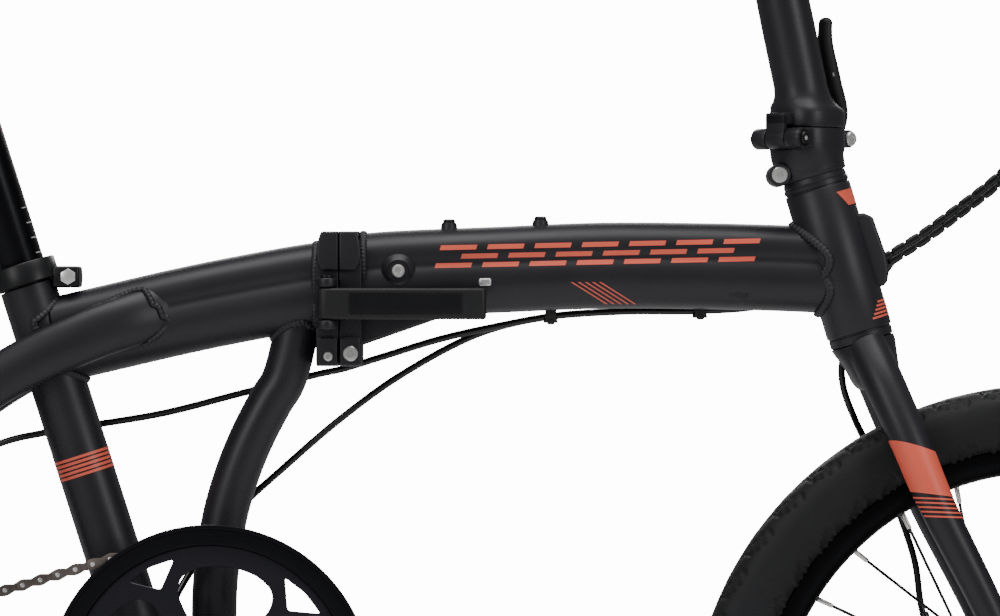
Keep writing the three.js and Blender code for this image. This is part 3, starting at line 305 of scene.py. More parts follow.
def headings(path):
    """Unit directions along a path."""
    along = np.gradient(path, axis=0)
    return along / np.linalg.norm(along, axis=1)[:, None]


def squareness(angles, power):
    """Reach of a superellipse: a circle at power 2, and squarer above it."""
    return 1 / (np.abs(np.cos(angles)) ** power + np.abs(np.sin(angles)) ** power) ** (1 / power)


def low_high(sign, near, far):
    """Two distances from the middle plane as lower and higher Y, on the side that sign says."""
    return sorted([sign * near, sign * far])


def smooth_path(points, steps):
    """Centripetal Catmull-Rom through the points, spaced evenly along its length."""
    points = np.asarray(points, float)
    padded = np.vstack([2 * points[0] - points[1], points, 2 * points[-1] - points[-2]])
    fine = []
    for p0, p1, p2, p3 in zip(padded, padded[1:], padded[2:], padded[3:]):
        t0 = 0.0
        t1 = t0 + max(np.linalg.norm(p1 - p0), 1e-6) ** 0.5
        t2 = t1 + max(np.linalg.norm(p2 - p1), 1e-6) ** 0.5
        t3 = t2 + max(np.linalg.norm(p3 - p2), 1e-6) ** 0.5
        for t in np.linspace(t1, t2, 24, endpoint=False):
            a1 = (t1 - t) / (t1 - t0) * p0 + (t - t0) / (t1 - t0) * p1
            a2 = (t2 - t) / (t2 - t1) * p1 + (t - t1) / (t2 - t1) * p2
            a3 = (t3 - t) / (t3 - t2) * p2 + (t - t2) / (t3 - t2) * p3
            b1 = (t2 - t) / (t2 - t0) * a1 + (t - t0) / (t2 - t0) * a2
            b2 = (t3 - t) / (t3 - t1) * a2 + (t - t1) / (t3 - t1) * a3
            fine.append((t2 - t) / (t2 - t1) * b1 + (t - t1) / (t2 - t1) * b2)
    fine.append(points[-1])
    fine = np.array(fine)
    along = np.concatenate([[0], np.cumsum(np.linalg.norm(np.diff(fine, axis=0), axis=1))])
    even = np.linspace(0, along[-1], steps + 1)
    return np.stack([np.interp(even, along, fine[:, k]) for k in range(3)], axis=1)


def circle_section(sides):
    angles = turn(sides)
    return np.stack([np.cos(angles), np.sin(angles)], axis=1)


def loft(rings, closed=False):
    """Joins rings of equal length. An open loft gets flat ends."""
    rings = np.asarray(rings, float)
    count, sides = rings.shape[:2]
    faces = []
    for i in range(count if closed else count - 1):
        a, b = i * sides, ((i + 1) % count) * sides
        for j in range(sides):
            k = (j + 1) % sides
            faces.append((a + j, a + k, b + k, b + j))
    if not closed:
        faces.append(tuple(range(sides))[::-1])
        faces.append(tuple(range((count - 1) * sides, count * sides)))
    return rings.reshape(-1, 3), faces


def tube(points, radius, sides=20, steps=None, section=None, side=None, flatten=1.0, straight=False):
    """A swept section. radius is a number or a function of the share along the path."""
    path = np.asarray(points, float)
    if straight:
        steps = len(path) - 1
    else:
        steps = steps or 8 * (len(path) - 1)
        path = smooth_path(path, steps)
    tangents = headings(path)
    reference = np.asarray(side if side is not None else Y, float)
    if side is None and abs(tangents[0] @ reference) > 0.9:
        reference = X
    shape = circle_section(sides) if section is None else np.asarray(section, float)
    rings = []
    for i, (centre, tangent) in enumerate(zip(path, tangents)):
        across = unit(reference - tangent * (reference @ tangent))
        up = np.cross(tangent, across)
        if side is None:
            reference = across
        size = radius(i / steps) if callable(radius) else radius
        rings.append(centre + shape[:, :1] * across * size + shape[:, 1:] * up * size * flatten)
    return loft(rings)


def lathe(profile, origin, axis=Y, sides=40):
    """Profile of (radius, distance along the axis), from the axis to the axis or closed on itself."""
    axis = unit(axis)
    first = unit(np.cross(axis, X if abs(axis @ X) < 0.9 else Z))
    second = np.cross(axis, first)
    closed = profile[0] == profile[-1]
    profile = profile[:-1] if closed else profile
    angles = turn(sides)
    ring = np.cos(angles)[:, None] * first + np.sin(angles)[:, None] * second
    rings = [np.asarray(origin) + ring * max(r, 0.02) + axis * h for r, h in profile]
    return loft(rings, closed)


def rod(start, end, radius, sides=20, bevel=0.6, end_radius=None):
    """A round bar with its edges eased."""
    start, end = np.asarray(start, float), np.asarray(end, float)
    length = np.linalg.norm(end - start)
    last = radius if end_radius is None else end_radius
    b = min(bevel, radius * 0.4, length * 0.3)
    profile = [(radius - b, 0), (radius - b * 0.3, b * 0.3), (radius, b), (last, length - b),
               (last - b * 0.3, length - b * 0.3), (last - b, length)]
    return lathe(profile, start, end - start, sides)


def bolt(origin, axis, radius=4.0, height=4.0, shaft=0.0):
    """A domed cap screw with a hexagon socket, seated on its origin."""
    sides = 24
    socket = radius * 0.5
    depth = height * 0.55
    axis = unit(axis)
    first = unit(np.cross(axis, X if abs(axis @ X) < 0.9 else Z))
    second = np.cross(axis, first)
    angles = turn(sides)
    hexagon = np.cos(np.pi / 6) / np.cos((angles + np.pi / 6) % (np.pi / 3) - np.pi / 6)
    rings = []
    for r, h, six in [(radius * 0.96, -shaft, 0), (radius, 0.2, 0), (radius, height * 0.6, 0),
                      (radius * 0.86, height * 0.92, 0), (radius * 0.62, height, 0), (socket * 1.12, height, 1),
                      (socket, height - 0.4, 1), (socket, height - depth, 1)]:
        size = r * (hexagon if six else np.ones(sides))
        rings.append(np.asarray(origin) + axis * h
                     + (np.cos(angles) * size)[:, None] * first + (np.sin(angles) * size)[:, None] * second)
    return loft(rings)


def mesh_shape(data):
    points = np.array([v.co for v in data.vertices], float).reshape(-1, 3)
    return points, [tuple(p.vertices) for p in data.polygons]


def place(shape, origin, right, up, out):
    """Moves a shape made in its own axes to an origin and three directions."""
    verts, faces = shape
    basis = np.array([unit(right), unit(up), unit(out)])
    moved = np.asarray(origin, float) + verts @ basis
    if np.dot(np.cross(basis[0], basis[1]), basis[2]) < 0:
        faces = [face[::-1] for face in faces]
    return moved, faces


def plate(outline, thickness, bevel=0.8, holes=(), rounds=3):
    """A flat plate in its own X and Y, with eased edges, centred on Z."""
    data = bpy.data.curves.new("outline", "CURVE")
    data.dimensions = "2D"
    data.fill_mode = "BOTH"
    for ring in [outline, *holes]:
        spline = data.splines.new("POLY")
        spline.points.add(len(ring) - 1)
        for point, (a, b) in zip(spline.points, ring):
            point.co = (a, b, 0.0, 1.0)
        spline.use_cyclic_u = True
    bevel = min(bevel, thickness * 0.45)
    data.extrude = thickness / 2 - bevel
    data.bevel_depth = bevel
    data.bevel_resolution = rounds
    data.offset = -bevel
    holder = bpy.data.objects.new("outline", data)
    bpy.context.scene.collection.objects.link(holder)
    mesh = bpy.data.meshes.new_from_object(holder.evaluated_get(bpy.context.evaluated_depsgraph_get()))
    bpy.data.objects.remove(holder)
    work = bmesh.new()
    work.from_mesh(mesh)
    bmesh.ops.remove_doubles(work, verts=work.verts, dist=1e-4)
    bmesh.ops.recalc_face_normals(work, faces=work.faces)
    work.to_mesh(mesh)
    work.free()
    return mesh_shape(mesh)


def upright(outline, y_low, y_high, bevel=0.8, holes=(), rounds=3):
    """A plate whose outline is X,Z points, between two Y planes."""
    shape = plate(outline, y_high - y_low, bevel, holes, rounds)
    return place(shape, (0, (y_low + y_high) / 2, 0), X, Z, Y)


def level(outline, z_low, z_high, bevel=0.8, holes=(), rounds=3):
    """A plate whose outline is X,Y points, between two heights."""
    shape = plate(outline, z_high - z_low, bevel, holes, rounds)
    return place(shape, (0, 0, (z_low + z_high) / 2), X, Y, Z)


def disc_outline(centre, radius, sides=48):
    return [(centre[0] + radius * math.cos(a), centre[1] + radius * math.sin(a)) for a in turn(sides)]


def link_outline(x0, z0, r0, x1, z1, r1, steps=14):
    """The outline round two circles."""
    heading = math.atan2(z1 - z0, x1 - x0)
    side = math.acos((r0 - r1) / math.hypot(x1 - x0, z1 - z0))
    first = [heading + side + (2 * math.pi - 2 * side) * i / steps for i in range(steps + 1)]
    second = [heading - side + 2 * side * i / steps for i in range(steps + 1)]
    outline = [(x0 + r0 * math.cos(a), z0 + r0 * math.sin(a)) for a in first]
    return outline + [(x1 + r1 * math.cos(a), z1 + r1 * math.sin(a)) for a in second]


def rounded_outline(corners, radius, steps=5):
    """The corners of an outline, each turned into an arc."""
    made = []
    count = len(corners)
    for i, corner in enumerate(corners):
        here = np.array(corner, float)
        back = np.array(corners[i - 1], float) - here
        ahead = np.array(corners[(i + 1) % count], float) - here
        reach = min(radius, 0.48 * np.linalg.norm(back), 0.48 * np.linalg.norm(ahead))
        start = here + unit(back) * reach
        end = here + unit(ahead) * reach
        for k in range(steps + 1):
            t = k / steps
            made.append(tuple((1 - t) ** 2 * start + 2 * t * (1 - t) * here + t * t * end))
    return made


def block(low, high, bevel=1.5):
    """A box with rounded edges."""
    low, high = np.asarray(low, float), np.asarray(high, float)
    work = bmesh.new()
    bmesh.ops.create_cube(work, size=1.0)
    for vert in work.verts:
        vert.co = Vector((low + high) / 2 + np.array(vert.co) * (high - low))
    bmesh.ops.bevel(work, geom=work.edges[:], offset=min(bevel, min(high - low) * 0.45), segments=3,
                    profile=0.5, affect="EDGES")
    mesh = bpy.data.meshes.new("block")
    work.to_mesh(mesh)
    work.free()
    return mesh_shape(mesh)


def fuse(*shapes):
    """Several shapes as one list of vertices and faces."""
    verts, faces, base = [], [], 0
    for points, polygons in shapes:
        verts.append(np.asarray(points, float))
        faces += [tuple(i + base for i in face) for face in polygons]
        base += len(points)
    return np.vstack(verts), faces


def as_object(name, shape, material, sharp=32):
    verts, faces = shape
    mesh = bpy.data.meshes.new(name)
    mesh.from_pydata([tuple(p) for p in np.asarray(verts) * MM], [], faces)
    mesh.validate()
    mesh.materials.append(material)
    obj = bpy.data.objects.new(name, mesh)
    bpy.context.scene.collection.objects.link(obj)
    ease(obj, sharp)
    return obj


def ease(obj, sharp=32):
    """Outward faces, smooth except across sharp edges."""
    work = bmesh.new()
    work.from_mesh(obj.data)
    bmesh.ops.recalc_face_normals(work, faces=work.faces)
    work.to_mesh(obj.data)
    work.free()
    obj.data.polygons.foreach_set("use_smooth", [True] * len(obj.data.polygons))
    obj.data.set_sharp_from_angle(angle=math.radians(sharp))


def boolean(obj, tool, operation):
    modifier = obj.modifiers.new(operation, "BOOLEAN")
    modifier.operation = operation
    modifier.solver = "EXACT"
    modifier.object = tool
    bpy.context.view_layer.update()
    evaluated = obj.evaluated_get(bpy.context.evaluated_depsgraph_get())
    mesh = bpy.data.meshes.new_from_object(evaluated)
    obj.modifiers.clear()
    obj.data = mesh
    bpy.data.objects.remove(tool)


def carve(obj, *shapes, sharp=32):
    for shape in shapes:
        boolean(obj, as_object("tool", shape, PAINT), "DIFFERENCE")
    ease(obj, sharp)


def weld_on(obj, *shapes, sharp=32):
    for shape in shapes:
        boolean(obj, as_object("tool", shape, obj.data.materials[0]), "UNION")
    ease(obj, sharp)


def settle(obj, body, *nodes, slot=None):
    """Puts a finished piece on its body and hides the CAD nodes it stands for; slot is not used."""
    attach(obj, body)
    if nodes:
        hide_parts(*nodes)


def piece(name, body, material, shapes, nodes=(), sharp=32, slot=None):
    shapes = shapes if isinstance(shapes, list) else [shapes]
    settle(as_object(name, fuse(*shapes), material, sharp), body, *nodes, slot=slot)


# ---------- floor ----------


def make_floor():
    shape = lathe([(0, -8), (2400, -8), (2405, -6), (2405, -0.6), (2404, -0.3), (0, -0.3)], (0, 0, 0), Z, 96)
    as_object("floor", shape, FLOOR)


make_floor()

# ---------- frame tubes ----------


LOBE_MIDDLE = -3.0
CREASE_EASE = 1.1
LOBES = [(8.0, 22.0, 22.5), (-13.0, 19.5, 17.5)]  # height, half width and half height of each


def lobe_radius(angle, grow=0.0):
    """Distance from the middle of the main tube to its skin: two lobes with an eased crease."""
    reach = []
    for centre, wide, high in LOBES:
        wide, high = wide + grow, high + grow
        dy, dz = np.cos(angle), np.sin(angle)
        offset = centre - LOBE_MIDDLE
        a = (dy / wide) ** 2 + (dz / high) ** 2
        b = -2 * dz * offset / high ** 2
        c = (offset / high) ** 2 - 1
        reach.append((-b + np.sqrt(np.maximum(b * b - 4 * a * c, 0))) / (2 * a))
    return CREASE_EASE * np.log(np.exp(reach[0] / CREASE_EASE) + np.exp(reach[1] / CREASE_EASE))


def lobe_section(grow=0.0, sides=72):
    """Section points across and up, going round from the left side."""
    angles = turn(sides)
    radius = lobe_radius(angles, grow)
    return np.stack([radius * np.cos(angles), radius * np.sin(angles) + LOBE_MIDDLE], axis=1)


def in_plane(pairs):
    return [(x, 0.0, z) for x, z in pairs]


FRONT_PATH = in_plane([(HINGE_X, 580), (38, 583.3), (123, 587.1), (194, 589.9), (264, 589.6), (321, 588.2),
                       (368, 586.0)])
REAR_PATH = in_plane([(-189, 537.5), (-160, 544.3), (-89, 560.6), (-18, 574), (HINGE_X, 578)])
STRUT_PATH = in_plane([(-16, 566), (-30, 509), (-38.5, 495), (-53, 467), (-64, 439), (-72, 410), (-78, 368),
                       (-79, 340), (-79, 310)])


def main_tube(points, grow=0.0, steps=48):
    # tube() draws a section's second axis downwards, so the section is turned over.
    section = lobe_section(grow)
    return tube(points, 1.0, section=np.stack([section[:, 0], -section[:, 1]], axis=1), steps=steps, side=Y)


def inside_rear_tube(point):
    fine = smooth_path(REAR_PATH, 60)
    middle = np.interp(point[0], fine[:, 0], fine[:, 2])
    across, up = point[1], point[2] - middle - LOBE_MIDDLE
    return point[0] > -189 and math.hypot(across, up) < lobe_radius(math.atan2(up, across))


def inside_seat_tube(point):
    away = point - SEAT_POINT
    return np.linalg.norm(away - SEAT_DIR * (away @ SEAT_DIR)) < SEAT_TUBE_R


def weld(loop, radius=3.1, pitch=3.5, closed=True):
    """A bead of overlapping ripples along a loop of points."""
    loop = np.asarray(loop, float)
    ring = np.vstack([loop, loop[:1]]) if closed else loop
    along = np.concatenate([[0], np.cumsum(np.linalg.norm(np.diff(ring, axis=0), axis=1))])
    ripples = max(3, round(along[-1] / pitch))
    count = ripples * 6
    even = np.linspace(0, along[-1], count, endpoint=not closed)
    path = np.stack([np.interp(even, along, ring[:, k]) for k in range(3)], axis=1)
    ahead = np.roll(path, -1, axis=0) - np.roll(path, 1, axis=0)
    if not closed:
        ahead[0], ahead[-1] = path[1] - path[0], path[-1] - path[-2]
    ahead /= np.maximum(np.linalg.norm(ahead, axis=1), 1e-9)[:, None]
    outward = path - path.mean(axis=0)
    outward -= ahead * np.sum(outward * ahead, axis=1)[:, None]
    outward /= np.maximum(np.linalg.norm(outward, axis=1), 1e-9)[:, None]
    aside = np.cross(ahead, outward)
    phase = (np.arange(count) % 6) / 6
    size = radius * (0.70 + 0.44 * np.sqrt(np.abs(np.sin(np.pi * (phase * 0.85 + 0.15)))))
    shape = circle_section(10)
    rings = [c + s * (shape[:, :1] * o * 0.72 + shape[:, 1:] * a) for c, s, o, a in zip(path, size, outward, aside)]
    return loft(rings, closed)


def seam(points, section, radius, inside, side, turns=48, steps=160):
    """Where a swept tube's skin leaves the space that inside() describes."""
    path = smooth_path(points, steps)
    tangents = headings(path)
    loop = []
    for k in range(turns):
        angle = 2 * np.pi * k / turns
        for i, (centre, tangent) in enumerate(zip(path, tangents)):
            across = unit(side - tangent * (side @ tangent))
            up = np.cross(tangent, across)
            size = radius(i / steps)
            skin = centre + size * (section[0] * math.cos(angle) * across + section[1] * math.sin(angle) * up)
            if not inside(skin):
                loop.append(skin)
                break
    return np.array(loop)


def decal(name, outlines, target, body, side=-1.0, fine=2.4):
    """Thin print laid on a surface: outlines of X,Z points, dropped onto the target along Y."""
    tree = BVHTree.FromObject(target, bpy.context.evaluated_depsgraph_get())
    work = bmesh.new()
    for outline in outlines:
        work.faces.new([work.verts.new((x, 0, z)) for x, z in outline])
    points = np.array([v.co for v in work.verts])
    for axis, direction in [(0, (1, 0, 0)), (2, (0, 0, 1))]:
        for cut in np.arange(points[:, axis].min() + fine, points[:, axis].max(), fine):
            where = [0.0, 0.0, 0.0]
            where[axis] = cut
            geometry = work.verts[:] + work.edges[:] + work.faces[:]
            bmesh.ops.bisect_plane(work, geom=geometry, plane_co=where, plane_no=direction)
    bmesh.ops.triangulate(work, faces=[f for f in work.faces if len(f.verts) > 4])
    work.verts.index_update()
    skin = []
    for vert in work.verts:
        start = Vector((vert.co.x, side * 400, vert.co.z)) * MM
        hit, normal, _, _ = tree.ray_cast(start, Vector((0, -side, 0)))
        if hit is None:
            hit, normal, _, _ = tree.find_nearest(Vector((vert.co.x, side * 12, vert.co.z)) * MM)
        if normal.y * side < 0:
            normal = -normal
        skin.append((np.array(hit / MM), np.array(normal)))
    count = len(skin)
    outer = np.array([p + n * 0.14 for p, n in skin])
    inner = np.array([p - n * 0.3 for p, n in skin])
    faces = [tuple(v.index for v in f.verts) for f in work.faces]
    edge = [(e.verts[0].index, e.verts[1].index) for e in work.edges if len(e.link_faces) == 1]
    work.free()
    walls = [(a, b, b + count, a + count) for a, b in edge]
    backs = [tuple(i + count for i in f[::-1]) for f in faces]
    made = as_object(name, (np.vstack([outer, inner]), faces + backs + walls), SALMON, 60)
    settle(made, body)


def band(origin, direction, radius, low, high, first, last, slant=0.0, steps=24):
    """Print wrapped round a tube from one angle to another, measured from -Y towards +X.
    slant narrows the top edge by that many degrees at each end."""
    direction = unit(direction)
    forward = unit(np.cross(direction, -Y))
    if forward[0] < 0:
        forward = -forward
    rings = []
    for share in np.linspace(0, 1, steps):
        ring = []
        for r, h, narrow in [(radius - 0.3, low, 0), (radius + 0.14, low, 0), (radius + 0.14, high, slant),
                             (radius - 0.3, high, slant)]:
            angle = math.radians(first + narrow + (last - first - 2 * narrow) * share)
            ring.append(origin + direction * h + r * (-Y * math.cos(angle) + forward * math.sin(angle)))
        rings.append(ring)
    return loft(rings)


def build_main_tubes():
    front = as_object("front_main_tube_skin", main_tube(FRONT_PATH), PAINT, 50)
    carve(front, block((-40, -60, 480), (HINGE_X + 16.1, 60, 700), 0.1), sharp=50)
    carve(front, rod(head_axis(500), head_axis(700), 19.5, 48), sharp=50)
    settle(front, "front_frame", "front_main_tube")
    gusset = upright([(20, 571), (20, 532), (25.8, 533.6), (79, 552.2), (90, 556.4), (90, 571)], -15, 15, 2.5)
    piece("hinge_gusset", "front_frame", PAINT, gusset)
    for i, (x, z) in enumerate([(87, 610), (151.6, 612)]):
        cone = lathe([(0, -4), (8.2, -4), (8.0, 0.4), (6.2, 4.0), (5.6, 8.6), (5.0, 10.2), (0, 10.4)],
                     (x, 0, z), Z, 32)
        piece(f"bottle_boss_{i}", "front_frame", PAINT, cone)
        piece(f"bottle_boss_bolt_{i}", "front_frame", ALLOY, bolt((x, 0, z + 10.2), Z, 4.3, 2.6, 4))
    loop = []
    lean = HEAD_DIR[2]
    for across, up in lobe_section(0.8, 96):
        z = up + 587.2
        x = head_axis(z)[0] - math.sqrt(max(23.9 ** 2 - across ** 2, 1)) / lean
        loop.append((x, across, z))
    piece("head_weld", "front_frame", PAINT_LIGHT, weld(loop, 3.4, 3.1), sharp=60)
    ring = [(HINGE_X + 16.6, across, up + 582) for across, up in lobe_section(0.2, 96)]
    piece("front_hinge_weld", "front_frame", PAINT_LIGHT, weld(ring, 2.6, 2.8), sharp=60)

    rear = as_object("rear_main_tube_skin", main_tube(REAR_PATH), PAINT, 50)
    carve(rear, block((HINGE_X - 16.1, -60, 480), (60, 60, 700), 0.1), sharp=50)
    carve(rear, rod(seat_axis(400), seat_axis(700), 18.6, 48), sharp=50)
    settle(rear, "rear_frame", "rear_main_tube")
    ring = [(HINGE_X - 16.6, across, up + 575) for across, up in lobe_section(0.2, 96)]
    piece("rear_hinge_weld", "rear_frame", PAINT_LIGHT, weld(ring, 2.6, 2.8), sharp=60)
    loop = []
    for across, up in lobe_section(0.6, 96):
        z = up + 542.5
        x = seat_axis(z)[0] + math.sqrt(max(20.2 ** 2 - across ** 2, 1)) / SEAT_DIR[2]
        loop.append((x, min(max(across, -19.6), 19.6), z + 0.22 * (x + 160)))
    piece("seat_weld", "rear_frame", PAINT_LIGHT, weld(loop, 3.0, 3.0), sharp=60)
    return front


def build_tube_details(front):
    """The boss with its bolt, the port plug, the latch catch and the print on the front tube."""
    boss = lathe([(0, -6), (12.5, -6), (12.0, -0.8), (9.2, 2.2), (7.8, 3.2), (7.4, 2.2), (0, 2.2)],
                 (51.6, -20.6, 586), -Y, 40)
    piece("cable_stop_boss", "front_frame", PAINT, boss)
    piece("cable_stop_bolt", "front_frame", SILVER, bolt((51.6, -22.8, 586), -Y, 4.6, 2.6, 4))
    plug = lathe([(0, -4), (9.2, -4), (9.0, -0.2), (7.6, 1.0), (5.6, 0.7), (3.0, 1.4), (0, 1.5)],
                 (291, -18.6, 574.5), -Y, 36)
    piece("port_plug", "front_frame", PLASTIC, plug)
    piece("latch_catch", "front_frame", SILVER, block((108, -24.2, 575.5), (117, -17, 581), 1.4))
    bars = []
    for row, (low, lean) in enumerate([(588.0, 0.0), (594.3, 1.8), (600.6, 3.6)]):
        for k in range(7 if row != 1 else 6):
            start = 77 + 33.2 * k + (16.6 if row == 1 else 0)
            rise = 0.022 * (start - 77)
            bars.append([(start + lean, low + rise), (start + lean + 25.5, low + rise + 0.5),
                         (start + lean + 26.5, low + rise + 3.9), (start + lean + 1.0, low + rise + 3.4)])
    decal("tube_print_bars", bars, front, "front_frame")
    lines = []
    for k in range(5):
        x = 172.5 + 5.0 * k
        lines.append([(x, 578.2), (x + 1.5, 578.2), (x + 26.4, 562.8), (x + 24.9, 562.8)])
    decal("tube_print_lines", lines, front, "front_frame", fine=3.0)


def build_seat_tube():
    wall = [(SEAT_BORE, 0), (SEAT_TUBE_R, 0), (SEAT_TUBE_R, 326.2), (19.5, 326.6), (SEAT_BORE, 326.6), (SEAT_BORE, 0)]
    skin = lathe(wall, seat_axis(264), SEAT_DIR, 56)
    piece("seat_tube_skin", "rear_frame", PAINT, skin, ["seat_tube"], 40)
    lines = []
    for k in range(5):
        low = -6.6 + k * 3.1
        lines.append(lathe([(19.7, low), (20.0, low), (20.0, low + 1.9), (19.7, low + 1.9), (19.7, low)],
                           seat_axis(449), SEAT_DIR, 56))
    piece("seat_tube_print", "rear_frame", SALMON, lines)


def build_strut():
    strut = as_object("curved_strut_skin", tube(STRUT_PATH, STRUT_R, 40, 60), PAINT, 45)
    weld_on(strut, rod(BB - 34 * Y, BB + 34 * Y, 21, 48, 1.2), sharp=45)
    carve(strut, rod(BB - 40 * Y, BB + 40 * Y, 17.2, 40, 0.1), sharp=45)
    settle(strut, "rear_frame", "curved_strut")
    loop = seam(STRUT_PATH, (STRUT_R, STRUT_R), lambda t: 1.0, inside_rear_tube, Y)
    piece("strut_weld_top", "rear_frame", PAINT_LIGHT, weld(loop, 2.7, 3.0), sharp=60)
    ring = []
    for x, y in disc_outline((0, 0), 16.2, 64):
        ring.append((BB[0] + x, y, BB[2] + math.sqrt(21.4 ** 2 - x * x)))
    piece("strut_weld_low", "rear_frame", PAINT_LIGHT, weld(ring, 2.5, 3.0), sharp=60)
    for side in (-1, 1):
        cup = lathe([(9.6, 0), (20.2, 0), (20.6, 0.6), (20.6, 1.6), (19.8, 2.4), (12.0, 2.4), (9.6, 1.6),
                     (9.6, 0)], BB + Y * side * 34, Y * side, 44)
        name = "bottom_bracket_cup_" + ("left" if side > 0 else "right")
        nodes = ["bottom_bracket_cartridge"] if side > 0 else []
        piece(name, "rear_frame", ALLOY, cup, nodes)


STAY_PATH = np.array([(-108, 5, 562.5), (-122, 13.5, 556.5), (-140, 21.5, 550), (-165, 26, 541), (-230, 31, 508.6),
                      (-330, 41, 425), (-440, 57, 318), (-490, 70, 272)], float)
CHAIN_STAY_PATH = np.array([(-82, 22, 294.5), (-180, 32.5, 286), (-290, 40.5, 275), (-430, 57, 261),
                            (-486, 70, 255.5)], float)


def stay_size(share):
    """The stay is blunt at its front end, then tapers to the dropout."""
    nose = min(1.0, 0.9 + share * 4.0)
    return nose * (1 - 0.42 * share)


def build_stays():
    oval = circle_section(36) * np.array([11.0, 19.5])
    for name, sign in [("left", 1.0), ("right", -1.0)]:
        mirror = np.array([1.0, sign, 1.0])
        path = STAY_PATH * mirror
        low, high = low_high(sign, 66.3, 74.0)
        tab = link_outline(-HALF_WHEELBASE, WHEEL_R, 15, -484, 278, 11)
        hole = disc_outline((-HALF_WHEELBASE, WHEEL_R), 5.15, 28)
        shapes = [tube(path, stay_size, steps=70, section=oval, side=Y), upright(tab, low, high, 1.0, [hole])]
        if sign < 0:
            shapes.append(upright(link_outline(-511, 240, 9, -512, 222, 8), low, high, 1.0))
        piece(f"{name}_seat_stay_skin", "rear_frame", PAINT, shapes, [f"{name}_seat_stay"], 45)
        loop = seam(path, (11.0, 19.5), stay_size,
                    lambda p: inside_rear_tube(p) or inside_seat_tube(p), Y)
        piece(f"{name}_stay_weld", "rear_frame", PAINT_LIGHT, weld(loop, 2.7, 3.0), sharp=60)
        shapes = [tube(CHAIN_STAY_PATH * mirror, lambda t: 10.0 - 1.6 * t, 28, 50, side=Y)]
        if sign > 0:
            shapes.append(block((-204, 28, 238), (-176, 38.65, 284), 2.0))
        piece(f"{name}_chain_stay_skin", "rear_frame", PAINT, shapes, [f"{name}_chain_stay"], 45)
    bridge = tube([(-296, -36, 453), (-300, 0, 457), (-296, 36, 453)], 7.5, 20, 16, side=Z)
    piece("stay_bridge", "rear_frame", PAINT, bridge)


# ---------- frame hinge and its latch ----------


KNUCKLE_Y = 35.0  # the hinge pin stands on the left, clear of the tube


def hinge_plate(x_low, x_high):
    """One plate of the hinge, its outline in Y and Z and its thickness along X."""
    outline = rounded_outline([(-27, 519), (-27, 614), (26, 614), (26, 519)], 9, 6)
    return place(plate(outline, x_high - x_low, 1.0), ((x_low + x_high) / 2, 0, 0), Y, Z, X)


def half_lobe(direction):
    """Half of the round cover at the top of the hinge, cut off flat at its top and bottom."""
    outline = [(HINGE_X + direction * 0.25, 586.2)]
    for angle in np.linspace(-44, 37.4, 16):
        radians = math.radians(angle)
        tall = 27.5 if angle > 0 else 15.3
        outline.append((HINGE_X + direction * 15.6 * math.cos(radians), 596.8 + tall * math.sin(radians)))
    outline.append((HINGE_X + direction * 0.25, 613.5))
    return outline


def build_hinge():
    for name, body, direction in [("rear", "rear_frame", -1), ("front", "front_frame", 1)]:
        x_low, x_high = (-6.1, 9.7) if direction < 0 else (10.1, 25.9)
        base = as_object(f"{name}_hinge_plate_skin", hinge_plate(x_low, x_high), PAINT, 40)
        if direction < 0:
            gaps, corner = [(544.6, 588.4)], block((-12, -60, 597), (-1.4, 60, 625), 0.1)
        else:
            gaps, corner = [(510, 545.2), (587.8, 622)], block((23.4, -60, 600), (32, 60, 625), 0.1)
        for low, high in gaps:
            carve(base, rod((HINGE_X, KNUCKLE_Y, low), (HINGE_X, KNUCKLE_Y, high), 9.2, 32, 0.1), sharp=40)
        carve(base, corner, sharp=40)
        settle(base, body, f"{name}_hinge_plate")
        lobe = upright(half_lobe(direction), -31.5, -24, 1.6)
        corners = [(x_low + 0.6, 519.5), (x_low + 0.6, 539.5), (x_high - 0.6, 539.5), (x_high - 0.6, 519.5)]
        low_block = upright(rounded_outline(corners, 2.5), -31, -24, 1.2)
        piece(f"{name}_hinge_cover", body, PAINT, [lobe, low_block], sharp=40)
        knuckles = [(525, 544.6), (588.4, 608)] if direction < 0 else [(545.4, 587.6)]
        barrels = []
        for low, high in knuckles:
            barrels.append(rod((HINGE_X, KNUCKLE_Y, low), (HINGE_X, KNUCKLE_Y, high), 8, 36, 1.0))
            x0, x1 = sorted([HINGE_X + direction, HINGE_X + direction * 8])
            barrels.append(block((x0, 20, low + 0.2), (x1, 36, high - 0.2), 1.0))
        piece(f"{name}_hinge_knuckles", body, PAINT, barrels)
    pin = [rod((HINGE_X, KNUCKLE_Y, low), (HINGE_X, KNUCKLE_Y, high), radius, sides, bevel)
           for low, high, radius, sides, bevel in [(522, 611, 3.4, 24, 0.4), (608.2, 611.5, 6.3, 6, 0.6),
                                                   (521, 524.8, 6.3, 28, 0.6)]]
    piece("frame_hinge_pin", "rear_frame", SILVER, pin)
    piece("hinge_bolt_small", "rear_frame", SILVER, bolt((2.6, -31, 526), -Y, 3.3, 2.2, 3))
    piece("hinge_bolt_large", "front_frame", SILVER, bolt((18.4, -31, 528), -Y, 5.3, 2.6, 3))


